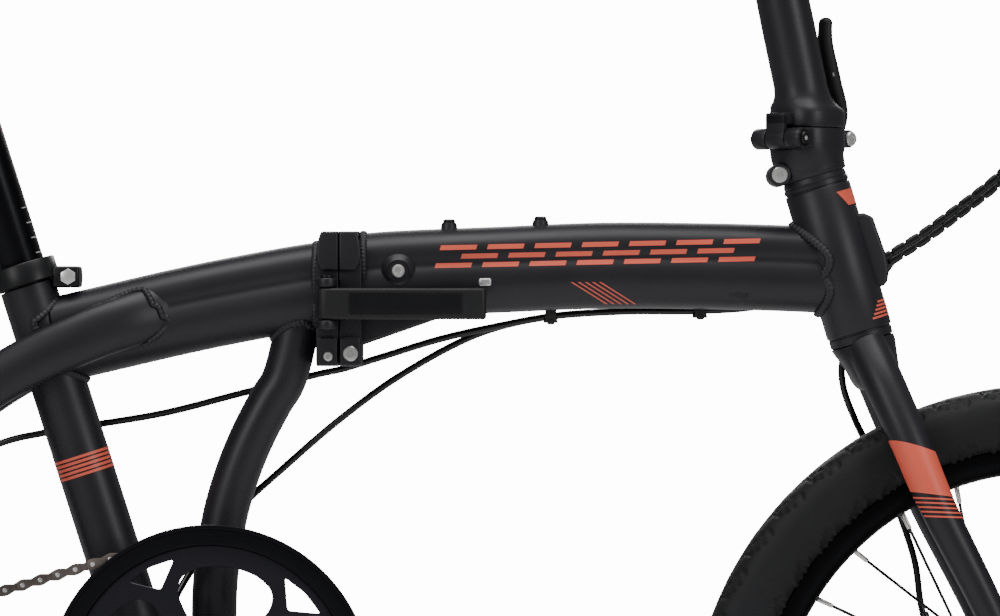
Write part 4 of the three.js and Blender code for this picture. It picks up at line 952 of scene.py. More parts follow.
def build_frame_latch():
    pivot = (2.0, -41.0)
    ears = [level(link_outline(*pivot, 7, 2, -24, 7), low, high, 1.2) for low, high in [(545, 551.4), (574.6, 581)]]
    piece("latch_ears", "rear_frame", PAINT, ears)
    pin = [rod((*pivot, 544.2), (*pivot, 582.2), 2.9, 20, 0.3), rod((*pivot, 581), (*pivot, 583), 4.6, 24, 0.5)]
    piece("latch_pin", "rear_frame", ALLOY, pin)
    lever = as_object("frame_latch_lever_skin", level(link_outline(*pivot, 7, 110, -38.5, 3.5), 552, 574, 2.2),
                      ALLOY_MATTE, 40)
    carve(lever, level([(17, -56), (17, -46.4), (97, -42.2), (97, -56)], 555.6, 570.6, 0.6),
          level([(10, -36.6), (104, -37.0), (104, -30), (10, -30)], 556, 570, 0.6),
          rod((*pivot, 540), (*pivot, 590), 3.1, 24, 0.1), sharp=40)
    settle(lever, "frame_latch", "frame_latch_lever")
    # A dark glossy plate in the lever's recessed panel: painted shade for the recess, darker than the lever itself.
    recess_shade_plate = level([(18.4, -46.9), (18.4, -45.6), (96.0, -41.4), (96.0, -42.7)], 556.2, 570.0, 0.2)
    piece("latch_recess_painted_shade", "frame_latch", CABLE, recess_shade_plate, slot="black_alloy")


FRONT_TUBE = build_main_tubes()
build_tube_details(FRONT_TUBE)
build_seat_tube()
build_strut()
build_stays()
build_hinge()
build_frame_latch()


# ---------- head tube, fork and handlepost ----------

PLAN_TURN = math.sqrt(0.5)
BLOCK_X = 340.0
PIN_ACROSS = -28.3
PIN_Z = 679.0
LATCH_ACROSS = 31.0
LATCH_Z = 680.0


def on_block(along, across, z):
    """A point by the handlepost hinge's own plan: along its pin, and across towards its latch."""
    return np.array([BLOCK_X + (along + across) * PLAN_TURN, (across - along) * PLAN_TURN, z])


ALONG = np.array([PLAN_TURN, -PLAN_TURN, 0.0])
ACROSS = np.array([PLAN_TURN, PLAN_TURN, 0.0])


def block_plan(corners, radius, steps=2):
    """A rounded outline whose corners are given along and across the handlepost hinge's pin."""
    return rounded_outline([on_block(a, c, 0)[:2] for a, c in corners], radius, steps)


def pin_rod(start, end, radius, sides, bevel=0.6):
    """A round bar along the handlepost hinge's pin."""
    return rod(on_block(start, PIN_ACROSS, PIN_Z), on_block(end, PIN_ACROSS, PIN_Z), radius, sides, bevel)


def latch_rod(start, end, radius, sides, bevel=0.6):
    """A round bar along the handlepost latch's pivot."""
    return rod(on_block(start, LATCH_ACROSS, LATCH_Z), on_block(end, LATCH_ACROSS, LATCH_Z), radius, sides, bevel)


def squircle(centre, half, power, sides=72, lean=None):
    """A level ring from a circle (power 2) towards a square turned by 45 degrees."""
    angles = turn(sides)
    reach = half * squareness(angles, power)
    ring = (np.asarray(centre) + (reach * np.cos(angles))[:, None] * ACROSS
            + (reach * np.sin(angles))[:, None] * ALONG)
    if lean is not None:
        ring[:, 2] += (ring[:, 0] - centre[0]) * lean
    return ring


def patch(origin, direction, radius, rows, lift=0.16):
    """Print round a tube whose rows each have a height and two angles, measured from -Y towards +X."""
    forward = unit(np.cross(direction, -Y))
    forward = forward if forward[0] > 0 else -forward
    rings = []
    for height, first, last in rows:
        angles = np.radians(np.linspace(first, last, 32))
        spread = np.cos(angles)[:, None] * -Y + np.sin(angles)[:, None] * forward
        foot = origin + direction * height
        rings.append(np.concatenate([foot + (radius + lift) * spread, (foot + (radius - 0.6) * spread)[::-1]]))
    return loft(rings)


def build_head_tube():
    tall = np.linalg.norm(HEAD_TOP - HEAD_BOTTOM)
    profile = [(15.1, -8), (21.6, -8), (22.6, -7.2), (22.8, -2.2), (22.2, -1.6), (22.2, -1.0), (23.1, -0.6),
               (HEAD_TUBE_R, 0.2), (HEAD_TUBE_R, tall - 0.2), (23.1, tall + 0.3), (22.4, tall + 0.5), (22.4, tall + 1.4),
               (23.3, tall + 1.8), (23.3, tall + 4.6), (22.6, tall + 5.0), (22.6, tall + 5.8), (22.9, tall + 6.2),
               (22.2, tall + 9.2), (15.1, tall + 9.2), (15.1, -8)]
    piece("head_tube_skin", "front_frame", PAINT, lathe(profile, HEAD_BOTTOM, HEAD_DIR, 72),
          ["head_tube"], 40)
    outline = rounded_outline([(364, 622), (379, 627.4), (386, 624.4), (395.6, 597), (397.5, 586), (396.2, 578.4),
                               (393.4, 575.4), (380, 575), (366, 600)], 1.6)
    piece("cable_port_cover", "front_frame", PAINT, upright(outline, -9.0, 9.0, 2.6), sharp=40)
    rows = [(87.2 + 11.2 * share, 45.5 - 18.5 * share, 134.5 + 18.5 * share) for share in np.linspace(0, 1, 8)]
    piece("head_badge", "front_frame", SALMON, patch(HEAD_BOTTOM, HEAD_DIR, HEAD_TUBE_R, rows))
    lines = []
    for k in range(5):
        low = 5.2 + 2.6 * k
        first = 25.6 + 5.2 * k
        lines.append(band(HEAD_BOTTOM, HEAD_DIR, HEAD_TUBE_R, low, low + 1.4, first, 180 - first))
    piece("head_tube_print", "front_frame", SALMON, lines)


FORK_PATH = np.array([(381, 12, 533), (394, 30, 503), (410, 43, 465), (426.5, 47.5, 424.5), (461.5, 51.5, 354),
                      (499, 55, 273)], float)
LEG_SPINE = smooth_path(FORK_PATH, 400)


def leg_radius(share):
    return 15.0 * (1 - 0.36 * share)


def on_leg(height):
    """The centre, radius and direction of a fork leg at a height."""
    shares = np.linspace(0, 1, len(LEG_SPINE))
    share = np.interp(-height, -LEG_SPINE[:, 2], shares)
    centre = np.array([np.interp(share, shares, LEG_SPINE[:, k]) for k in range(3)])
    ahead = np.array([np.interp(min(1, share + 0.01), shares, LEG_SPINE[:, k]) for k in range(3)])
    return centre, leg_radius(share), unit(ahead - centre)


def leg_print(side, top, bottom, tilts, first, last, lift=0.3):
    """Print round a fork leg between two heights, each edge dropped towards the front by its tilt."""
    rings = []
    for share in np.linspace(0, 1, max(3, int(abs(top - bottom) / 1.6) + 2)):
        height = top + (bottom - top) * share
        tilt = tilts[0] + (tilts[1] - tilts[0]) * share
        outer, inner = [], []
        for angle in np.radians(np.linspace(first, last, 40)):
            centre, radius, along = on_leg(height - tilt * math.sin(angle))
            out = unit(Y - np.dot(Y, along) * along)
            fore = np.cross(along, out)
            fore = fore if fore[0] > 0 else -fore
            ray = (math.cos(angle) * out + math.sin(angle) * fore) * np.array([1, side, 1])
            spot = centre * np.array([1, side, 1])
            outer.append(spot + (radius + lift) * ray)
            inner.append(spot + (radius - 0.6) * ray)
        rings.append(outer + inner[::-1])
    return loft(rings)


def build_fork():
    legs = []
    for sign in (1.0, -1.0):
        legs.append(tube(FORK_PATH * np.array([1, sign, 1]), leg_radius, 44, 64, side=Y))
    fork = as_object("fork_skin", legs[0], PAINT, 45)
    weld_on(fork, legs[1], sharp=45)
    rings = []
    for share, z_low in [(0.0, 536.0), (0.12, 533.0), (0.35, 526.0), (0.6, 518.0), (0.85, 508.0), (0.97, 503.5),
                         (1.0, 502.2)]:
        shrink = 1.0 if share < 0.9 else (0.93 if share < 0.99 else 0.84)
        ease_in = 0.97 if share < 0.05 else 1.0
        centre = head_axis(536) * (1 - share) + np.array([390.5, 0, 503.0]) * share
        centre[2] = z_low if share > 0 else 536.0
        half_x = (22.6 * (1 - share) + 16.0 * share) * shrink * ease_in
        half_y = (22.0 * (1 - share) + 27.0 * share) * shrink * ease_in
        angles = turn(56)
        reach = squareness(angles, 2 + 1.1 * share)
        forward = half_x * reach * np.cos(angles)
        rings.append(centre + np.stack([forward, half_y * reach * np.sin(angles), 0.29 * (1 - share) * forward],
                                       axis=1))
    weld_on(fork, loft(rings), sharp=45)
    weld_on(fork, rod(head_axis(525), head_axis(682), 14.2, 40, 0.6), sharp=45)
    for sign in (1, -1):
        low, high = low_high(sign, 50.35, 57)
        tab = link_outline(HALF_WHEELBASE, WHEEL_R, 13, 499, 274, 9)
        hole = disc_outline((HALF_WHEELBASE, WHEEL_R), 5.15, 28)
        weld_on(fork, upright(tab, low, high, 1.0, [hole]), sharp=45)
    carve(fork, rod((HALF_WHEELBASE, -50.2, WHEEL_R), (HALF_WHEELBASE, 50.2, WHEEL_R), 40, 48, 0.1), sharp=45)
    settle(fork, "fork", "fork")
    for name, side in [("right", -1.0), ("left", 1.0)]:
        piece(f"fork_print_{name}", "fork", SALMON, leg_print(side, 463.3, 429.8, (8.8, 7.1), -96, 96))
        lines = [leg_print(side, 427.4 - 3.1 * k, 426.2 - 3.1 * k, (6.0, 6.0), -84 + 5 * k, 96)
                 for k in range(5)]
        piece(f"fork_lines_{name}", "fork", SALMON, lines)
    arm = upright(link_outline(452, 300, 9, 484, 312, 7), 45, 52, 1.4)
    piece("front_caliper_bracket", "fork", PAINT, arm)


def build_stem_base():
    rings = []
    # height, half width, squareness, and how far the centre has moved from the steerer to the hinge block
    levels = [(653.0, 22.0, 2, 0), (653.5, 22.6, 2, 0), (656, 22.9, 2, 0), (660, 23.8, 2, 0.1), (663, 24.5, 2.05, 0.3),
              (667, 24.9, 2.2, 0.7), (671, 24.7, 2.5, 1), (675, 24.5, 2.7, 1), (685.8, 24.4, 2.7, 1),
              (686.6, 24.1, 2.7, 1), (686.8, 23.6, 2.7, 1)]
    for z, half, power, to_block in levels:
        centre = head_axis(z) * (1 - to_block) + np.array([BLOCK_X, 0, z]) * to_block
        rings.append(squircle(centre, half, power, lean=0.294 * (1 - to_block)))
    base = as_object("handlepost_base_skin", loft(rings), PAINT, 45)
    carve(base, pin_rod(-40, 40, 8.6, 32, 0.1), latch_rod(-6.4, 6.4, 8, 28, 0.1),
          rod(head_axis(600), head_axis(683), 14.6, 40, 0.1), sharp=45)
    weld_on(base, rod((319.6, -19, 653.6), (319.6, 19, 653.6), 8, 36, 1.0), sharp=45)
    carve(base, block((300, -0.7, 640), (329, 0.7, 671), 0.1), sharp=45)
    settle(base, "fork", "handlepost_base")
    ears = []
    for start, end in [(-22, -9), (9, 22)]:
        ears.append(pin_rod(start, end, 7.5, 36, 1.2))
        web = block_plan([(start, PIN_ACROSS + 2), (end, PIN_ACROSS + 2), (end, -18), (start, -18)], 1.0)
        ears.append(level(web, 672.5, 685.5, 1.0))
    for start, end in [(-13, -6.4), (6.4, 13)]:
        ears.append(latch_rod(start, end, 6.4, 32, 0.9))
        web = block_plan([(start, 20), (end, 20), (end, LATCH_ACROSS), (start, LATCH_ACROSS)], 1.0)
        ears.append(level(web, 675.5, 685.2, 1.0))
    piece("post_hinge_ears", "fork", PAINT, ears, sharp=40)
    pin = [pin_rod(-23.5, 23.5, 3.0, 24, 0.4),
           bolt(on_block(22, PIN_ACROSS, PIN_Z), ALONG, 4.8, 3.0, 0.2),
           bolt(on_block(-22, PIN_ACROSS, PIN_Z), -ALONG, 4.8, 3.0, 0.2)]
    piece("post_hinge_pin", "fork", ALLOY, pin)
    ring = lathe([(4.9, 0), (6.4, 0), (6.2, 0.9), (5.2, 1.1), (4.9, 0.8), (4.9, 0)],
                 on_block(22, PIN_ACROSS, PIN_Z), ALONG, 36)
    piece("post_hinge_washer", "fork", ALLOY, ring)
    piece("post_hinge_pin_end", "fork", SILVER, pin_rod(22, 24.4, 1.7, 20, 0.3))
    tall = np.linalg.norm(HEAD_TOP - HEAD_BOTTOM)
    seal = [(15.2, tall + 9.3), (22.1, tall + 9.3), (22.1, tall + 11.2), (15.2, tall + 11.2), (15.2, tall + 9.3)]
    piece("headset_seal", "fork", GRIP_RUBBER, lathe(seal, HEAD_BOTTOM, HEAD_DIR, 64))
    latch = [latch_rod(-15, 13, 2.9, 24, 0.4),
             bolt(on_block(13, LATCH_ACROSS, LATCH_Z), ALONG, 5.2, 2.8, 0.2)]
    piece("post_latch_bolt", "fork", SILVER, latch)
    piece("steerer_clamp_bolt", "fork", SILVER, bolt((319.6, -19, 653.6), -Y, 5.6, 2.4, 2))
    nut = rod((319.6, 18.6, 653.6), (319.6, 22.0, 653.6), 5.2, 6, 0.5)
    piece("steerer_clamp_nut", "fork", SILVER, nut)


def build_handlepost():
    foot = np.array([339.0, 0.0, 699.0])
    top = np.array([275.0, 0.0, 1009.0])
    rings = []
    for z, half, power in [(687.2, 23.6, 2.7), (687.5, 24.1, 2.7), (688.6, 24.4, 2.7), (697, 24.4, 2.7),
                           (699.5, 24.0, 2.6), (702, 23.0, 2.5), (705.5, 21.0, 2.3), (710, 19.6, 2.1),
                           (716, 19.0, 2.0)]:
        share = (z - 699) / (top[2] - foot[2])
        centre = np.array([BLOCK_X, 0, z]) if z < 700 else foot + (top - foot) * share
        rings.append(squircle(centre, half, power))
    for share in np.linspace(0.08, 1.0, 26):
        centre = foot + (top - foot) * share
        rings.append(squircle(centre, 19.0 - 3.0 * share, 2.0, lean=0.2065 * min(1.0, share * 5)))
    post = as_object("handlepost_skin", loft(rings), PAINT, 45)
    carve(post, pin_rod(-40, 40, 8.6, 32, 0.1), sharp=45)
    weld_on(post, rod(BAR - 24 * Y, BAR + 24 * Y, 18.7, 48, 1.4), sharp=45)
    carve(post, rod(BAR - 40 * Y, BAR + 40 * Y, 13.0, 44, 0.1), sharp=45)
    carve(post, block((BAR[0] + 9, -30, BAR[2] - 0.7), (BAR[0] + 30, 30, BAR[2] + 0.7), 0.1), sharp=45)
    settle(post, "handlepost", "handlepost")
    outer = PIN_ACROSS - 6.6
    web = block_plan([(-8.5, outer), (8.5, outer), (8.5, -18), (-8.5, -18)], 1.2)
    side = block_plan([(-8.5, outer), (8.5, outer), (8.5, PIN_ACROSS - 2), (-8.5, PIN_ACROSS - 2)], 1.2)
    tongue = [pin_rod(-8.6, 8.6, 7.4, 32, 0.8), level(web, 688.6, 697, 1.0), level(side, 680, 696, 1.0)]
    piece("post_hinge_tongue", "handlepost", PAINT, tongue, sharp=40)
    for i, y in enumerate([-17.5, 17.5]):
        spot = BAR + np.array([15.5, y, 9.2])
        piece(f"bar_clamp_bolt_{i}", "handlepost", ALLOY, bolt(spot, unit((0.55, 0, 0.85)), 3.6, 3.2, 3))
    loop = []
    for x, y in disc_outline((0, 0), 16.4, 60):
        loop.append((275.8 + x, y, BAR[2] - math.sqrt(19.1 ** 2 - min(x + 3, 18) ** 2)))
    piece("post_head_weld", "handlepost", PAINT_LIGHT, weld(loop, 2.2, 3.0), sharp=60)


def build_post_latch():
    path = [on_block(0, 31, 682), on_block(0, 35, 698), on_block(0, 27, 721), on_block(0, 19.5, 748),
            on_block(0, 20, 766)]

    def size(share):
        swell = 0.86 + 0.28 * math.sin(math.pi * min(1.0, share * 1.1))
        return swell * (1.0 if share < 0.96 else math.sqrt(max(0.1, 1 - ((share - 0.96) / 0.045) ** 2)))

    blade = tube(path, size, steps=64, section=circle_section(28) * np.array([6.3, 5.0]), side=ALONG)
    lever = as_object("handlepost_latch_skin", blade, ALLOY_MATTE, 45)
    weld_on(lever, latch_rod(-6, 6, 7, 36, 1.0), sharp=45)
    carve(lever, latch_rod(-9, 9, 3.1, 24, 0.1), sharp=45)
    settle(lever, "handlepost_latch", "handlepost_latch_lever")
    piece("post_latch_screw", "handlepost_latch", SILVER, bolt(on_block(4.4, 23.4, 726), ALONG, 2.2, 1.6, 2))


# ---------- cables held by the bicycle ----------


def wrapped(points, radius, steps, pitch=11.7, sides=36):
    """Two rows of housings side by side in a spiral wrap, which shows as staggered glossy segments."""
    path = smooth_path(points, steps)
    length = np.sum(np.linalg.norm(np.diff(path, axis=0), axis=1))
    verts, faces = tube(path, 1.0, sides, straight=True, side=Y)
    rings = verts.reshape(steps + 1, sides, 3)
    centres = rings.mean(axis=1, keepdims=True)
    spread = rings - centres
    across = np.cross(np.gradient(path, axis=0), Y)
    across /= np.linalg.norm(across, axis=1, keepdims=True)
    rise = np.einsum("ijk,ik->ij", spread, across)
    lobe, offset = 0.56 * radius, 0.5 * radius
    inner = np.maximum(lobe ** 2 - (offset ** 2) * (1 - rise ** 2), (0.38 * radius) ** 2)
    reach = offset * np.abs(rise) + np.sqrt(inner)
    along = np.linspace(0, length, steps + 1)[:, None]
    phase = (along / pitch + np.where(rise > 0, 0.0, 0.5)) % 1.0
    near = np.minimum(phase, 1 - phase)
    bulge = 0.94 + 0.1 * np.sin(np.pi * phase) - 0.26 * np.clip(1 - near / 0.085, 0, 1)
    rings = centres + spread * (reach * bulge)[:, :, None]
    return rings.reshape(-1, 3), faces


def bridge_piece(name, shapes, nodes):
    """A cable that runs across the joint between two bodies, kept on neither body."""
    obj = as_object(name, fuse(*shapes), CABLE, 50)
    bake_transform(obj)
    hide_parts(*nodes)


LOWER_BUNDLE = [(392, 3, 590), (397, 3, 594), (420, 3, 608.5), (448, 3, 629), (476, 3, 651), (503, 4, 680)]
UPPER_BUNDLE = [(504, 4, 681.5), (524, 5, 725), (528, 6, 790), (506, 8, 860), (455, 9, 925), (395, 8, 970)]


def build_bundles():
    bridge_piece("cable_wrap_lower", [wrapped(LOWER_BUNDLE, 5.0, steps=420)],
                 ["cable_bundle_lower"])
    fan = [[(395, 8, 970), (350, 40, 1000), (315, 90, 1012), (299, 130, 1017)],
           [(395, 8, 970), (350, -30, 998), (315, -85, 1010), (299, -130, 1017)],
           [(395, 8, 970), (345, -20, 985), (305, -70, 992), (285, -110, 1002)]]
    shapes = [wrapped([(503, 4, 680), *UPPER_BUNDLE], 5.0, steps=1000)]
    shapes += [tube(route, 2.5, 16, 48) for route in fan]
    bridge_piece("cable_wrap_upper", shapes,
                 ["cable_bundle_upper"])
    piece("bundle_collar", "handlepost", PLASTIC, rod((395, 8, 970), (387, 10, 977), 5.8, 24, 0.8))


def build_fork_cable():
    route = [(503, 9, 681), (476, 12, 653), (448, 14, 631), (424, 20, 612), (402, 31, 592), (386, 37, 562),
             (368, 36, 524), (368, 37, 505), (378, 42, 478), (399, 58, 440), (411, 66, 411),
             (421.8, 66, 377.5), (426.5, 66, 345), (432, 62, 326)]
    shapes = [tube(route, 2.5, 18, 130), rod((428, 63, 341), (434, 61.4, 322), 3.4, 20, 0.6)]
    piece("front_brake_housing", "fork", CABLE, shapes, ["front_brake_cable"])


def shared_route(y):
    """Where both frame housings leave the head tube and run below the main tube."""
    return [(390, y + 11, 588), (381, y + 22, 583), (361, y + 26, 577), (338, y + 23, 570), (305, y + 14, 561),
            (265, y + 12, 558), (210, y + 12, 557.5), (159, y + 12, 554)]


def build_frame_cables():
    brake = shared_route(4) + [(123, 18, 547.5), (80.6, 20, 538), (38.2, 22, 525), (9.9, 22, 516.4), (-4, 23, 513.5),
                               (-60.8, 26, 499.4), (-117.3, 27, 485), (-202, 29, 471), (-232, 34, 464),
                               (-300, 56, 432), (-380, 66, 378), (-440, 70, 350), (-470, 66, 349)]
    shift = shared_route(9.5) + [(108.8, 24, 542), (52.3, 23, 512.2), (9.9, 22, 481.5), (-32.5, 24, 445),
                                 (-60.8, 26, 418.9), (-92, 23, 380), (-108, 4, 352), (-112, -18, 334),
                                 (-128, -30, 312), (-180, -35, 302), (-290, -42, 290.5), (-400, -62, 286),
                                 (-470, -81, 290), (-530, -82, 280), (-556, -82, 252), (-545, -82, 228),
                                 (-526, -82, 223)]
    bridge_piece("rear_brake_housing", [tube(brake, 2.5, 18, 240)],
                 ["rear_brake_cable", "main_tube_cables"])
    bridge_piece("shift_housing", [tube(shift, 2.5, 18, 320)],
                 ["shift_cable"])
    for i, x in enumerate([265, 159]):
        z = 557.5 if x > 200 else 554
        shapes = [block((x - 5, 10.5, z - 4.6), (x + 5, 26, z - 2.2), 0.9),
                  block((x - 4, 9.0, z - 4.4), (x + 4, 11.6, z + 8), 0.9),
                  block((x - 5, 24.6, z - 4.6), (x + 5, 26.6, z + 2), 0.8),
                  bolt((x, 10.4, z - 4.6), -Z, 2.6, 1.2, 2)]
        piece(f"cable_clip_{i}", "front_frame", PLASTIC, shapes)
    piece("stay_cable_clip", "rear_frame", PLASTIC,
          lathe([(2.6, -4), (4.2, -4), (4.4, -3), (4.4, 3), (4.2, 4), (2.6, 4), (2.6, -4)], (-380, 66, 378),
                unit((-0.83, 0.1, -0.5)), 24))


build_head_tube()
build_fork()
build_stem_base()
build_handlepost()
build_post_latch()
build_bundles()
build_fork_cable()
build_frame_cables()


# ---------- wheels ----------

BEAD_R = 209.4
SPOKES = 28
HEAD_CIRCLE_R = 25.5  # where the spokes leave a hub's flanges
SPOKE_END_R = 191.5


def on_wheel(x, radius, angle, y=0.0):
    """A point at a radius and an angle round an axle."""
    return np.array([x + radius * math.cos(angle), y, WHEEL_R + radius * math.sin(angle)])


def tyre_profile(points=56):
    """Half widths and radii round the outside of the tyre, from bead to bead."""
    keys = np.array([(-12.4, 209.4), (-16.5, 212.5), (-20.6, 218.5), (-23.9, 226), (-24.9, 232.5), (-24.2, 239),
                     (-21.2, 245.6), (-16, 250), (-9, 252.5), (0, 252.8)])
    other = keys[:-1][::-1] * np.array([-1, 1])
    path = smooth_path(np.column_stack([np.vstack([keys, other]), np.zeros(2 * len(keys) - 1)]), points)
    return path[:, 0], np.minimum(path[:, 1], 252.8)


def tread_depth(angle, y):
    """How deep the tread is cut: curved sipes on both shoulders and two zigzag grooves near the middle."""
    pitch = 2 * np.pi / 46
    depth = np.zeros(np.broadcast(angle, y).shape)
    shoulder = np.abs(y)
    out = np.clip((shoulder - 6.5) / 15.5, 0, 1)
    for phase, lean, width in [(0.0, 1.0, 0.085), (0.5, 0.62, 0.07)]:
        wobble = 0.16 * np.sin(out * np.pi * 2.2 + phase * 6)
        shift = np.sign(y) * 0.25 + phase + lean * out * 0.85 + wobble
        share = (angle / pitch + shift) % 1.0
        near = np.minimum(share, 1 - share)
        strength = np.clip((shoulder - 6.0) / 1.2, 0, 1) * np.clip((22.4 - shoulder) / 1.5, 0, 1)
        depth = np.maximum(depth, np.clip(1 - near / width, 0, 1) ** 0.6 * strength * 2.1)
    zigzag = 5.6 + 1.3 * np.abs(((angle / pitch) % 1.0) * 2 - 1)
    depth = np.maximum(depth, np.clip(1 - np.abs(shoulder - zigzag) / 0.7, 0, 1) * 1.1)
    return depth


def build_tyre(end, x):
    turns = 1380
    y, radius = tyre_profile(58)
    angles = turn(turns)[:, None]
    around = radius[None, :] - tread_depth(angles, y[None, :])
    line = 0.35 * np.exp(-((radius - 229.5) / 0.5) ** 2) + 0.3 * np.exp(-((radius - 214.5) / 0.6) ** 2)
    width = y + np.sign(y) * line
    grid = np.stack([x + around * np.cos(angles), np.broadcast_to(width, around.shape),
                     WHEEL_R + around * np.sin(angles)], axis=2)
    beads = [np.stack([x + BEAD_R * np.cos(angles), np.full((turns, 1), wide), WHEEL_R + BEAD_R * np.sin(angles)],
                      axis=2) for wide in (9.5, -9.5)]
    rings = np.concatenate([grid, *beads], axis=1)
    piece(f"{end}_tyre_skin", f"{end}_wheel", RUBBER, loft(rings, True), [f"{end}_tyre"], 60)


DASH_SECTION = [(201.2, 13.0), (205.4, 13.2), (205.4, 13.62), (201.2, 13.48)]  # radius and height of the rim's print


def build_rim(end, x):
    profile = [(191.2, -4.6), (191.8, -7.4), (194.6, -10.8), (198.2, -12.9), (199.2, -13.3), (207.2, -13.5),
               (208.6, -13.2), (209.0, -12.4), (209.0, 12.4), (208.6, 13.2), (207.2, 13.5), (199.2, 13.3),
               (198.2, 12.9), (194.6, 10.8), (191.8, 7.4), (191.2, 4.6), (190.9, 0), (191.2, -4.6)]
    centre = (x, 0, WHEEL_R)
    piece(f"{end}_rim_skin", f"{end}_wheel", RIM_ALLOY[end], lathe(profile, centre, Y, 240),
          [f"{end}_rim"], 40)
    dashes = []
    for cluster in range(3):
        for k in range(5):
            first = 60 + 120 * cluster + 3.1 * k + (2 if cluster else 0)
            for sign in (-1, 1):
                wide = 2.0 if k % 2 == 0 else 1.2
                angles = np.radians(first + wide * np.linspace(0, 1, 6))
                dashes.append(loft([[on_wheel(x, r, angle, sign * h) for r, h in DASH_SECTION] for angle in angles]))
    piece(f"{end}_rim_print", f"{end}_wheel", SALMON, dashes, slot="black_alloy")
    angle = math.radians(212)
    valve = rod(on_wheel(x, 191.5, angle), on_wheel(x, 163, angle), 3.0, 20, 0.6)
    piece(f"{end}_valve", f"{end}_wheel", GRIP_RUBBER, valve)


def build_hub(end, x, flange, half):
    centre = (x, 0, WHEEL_R)
    shell = [(5.3, -half + 0.5), (9.5, -half + 0.5), (10.2, -half + 1.4), (10.2, -flange - 6), (13, -flange - 4.5),
             (28, -flange - 3), (29, -flange - 2.2), (29, -flange - 0.8), (28, -flange), (17, -flange + 1.5),
             (13, -flange + 6), (12, 0), (13, flange - 6), (17, flange - 1.5), (28, flange), (29, flange + 0.8),
             (29, flange + 2.2), (28, flange + 3), (13, flange + 4.5), (10.2, flange + 6), (10.2, half - 1.4),
             (9.5, half - 0.5), (5.3, half - 0.5), (5.3, -half + 0.5)]
    hub = as_object(f"{end}_hub_skin", lathe(shell, centre, Y, 64), HUB_ALLOY[end], 40)
    settle(hub, f"{end}_wheel", f"{end}_hub")
    spokes, nipples, heads = [], [], []
    for i in range(SPOKES):
        side = 1 if i % 2 == 0 else -1
        lead = 1 if (i // 2) % 2 == 0 else -1
        rim_angle = math.radians((i + 0.5) * 360 / SPOKES)
        hub_angle = rim_angle + math.radians(62) * lead
        start = on_wheel(x, HEAD_CIRCLE_R, hub_angle, side * (flange + 1.5 + 2.4 * lead))
        end_point = on_wheel(x, SPOKE_END_R, rim_angle, side * 3)
        along = unit(end_point - start)
        spokes.append(rod(start, end_point - along * 8, 1.15, 10, 0.2))
        spokes.append(rod(start - Y * side * 2.4 * lead * 1.3, start + Y * side * 0.4 * lead, 1.0, 10, 0.2))
        heads.append(rod(start + Y * side * lead * -3.4, start + Y * side * lead * -2.4, 1.9, 12, 0.3))
        nipples.append(rod(end_point - along * 12.0, end_point + along * 1.0, 1.75, 12, 0.4, 1.95))
    piece(f"{end}_spokes", f"{end}_wheel", SPOKE, spokes + heads)
    piece(f"{end}_nipples", f"{end}_wheel", BRASS, nipples)


def build_rotor(end, x, y):
    """A vented disc: an outer brake track with round holes, on curved arms from a carrier."""
    centre = (x, WHEEL_R)
    holes = []
    for k in range(24):
        for radius, shift in [(75.6, 0.0), (70.4, 0.42), (65.6, 0.84)]:
            angle = 2 * math.pi * (k + shift) / 24
            holes.append(disc_outline(on_wheel(x, radius, angle)[::2], 1.9, 10))
    for k in range(6):
        first = 2 * math.pi * k / 6
        shares = np.linspace(0, 1, 12)
        window = [on_wheel(x, 61.0, first + 0.13 + 0.76 * share)[::2] for share in shares]
        window += [on_wheel(x, 27.0, first - 0.14 + 0.66 * share)[::2] for share in shares[::-1]]
        holes.append(rounded_outline(window, 3.0, 2))
    outline = []
    for k in range(288):
        angle = 2 * math.pi * k / 288
        radius = 79.4 - 0.7 * (0.5 - 0.5 * math.cos(angle * 24))
        outline.append(on_wheel(x, radius, angle)[::2])
    holes.append(disc_outline(centre, 11.0, 40))
    disc = upright(outline, y - 0.95, y + 0.95, 0.25, holes, 1)
    piece(f"{end}_rotor_skin", f"{end}_wheel", ROTOR_STEEL[end], disc, [f"{end}_rotor"], 30)
    carrier = lathe([(10.6, -4), (21.5, -4), (22.5, -3), (22.5, -1.4), (10.6, -1.4), (10.6, -4)],
                    (x, y, WHEEL_R), Y, 48)
    bolts = [bolt(on_wheel(x, 17, a, y + 0.9), Y, 2.6, 1.6, 3) for a in turn(6)]
    piece(f"{end}_rotor_carrier", f"{end}_wheel", ALLOY, carrier)
    piece(f"{end}_rotor_bolts", f"{end}_wheel", SILVER, bolts)


def build_axle(end, x, body, half, thickness):
    shapes = [rod((x, -half - thickness - 10, WHEEL_R), (x, half + thickness + 10, WHEEL_R), 4.7, 28, 0.8)]
    for sign in (1, -1):
        face = half + thickness + 0.4
        shapes.append(lathe([(4.8, 0), (9.2, 0), (9.4, 0.6), (9.2, 1.4), (4.8, 1.4), (4.8, 0)],
                            (x, sign * face, WHEEL_R), Y * sign, 36))
        shapes.append(rod((x, sign * (face + 1.4), WHEEL_R), (x, sign * (face + 7.6), WHEEL_R), 8.4, 6, 0.7))
        shapes.append(rod((x, sign * (face + 7.4), WHEEL_R), (x, sign * (face + 8.0), WHEEL_R), 6.2, 32, 0.2))
    piece(f"{end}_axle_skin", body, SILVER, shapes, [f"{end}_axle"])


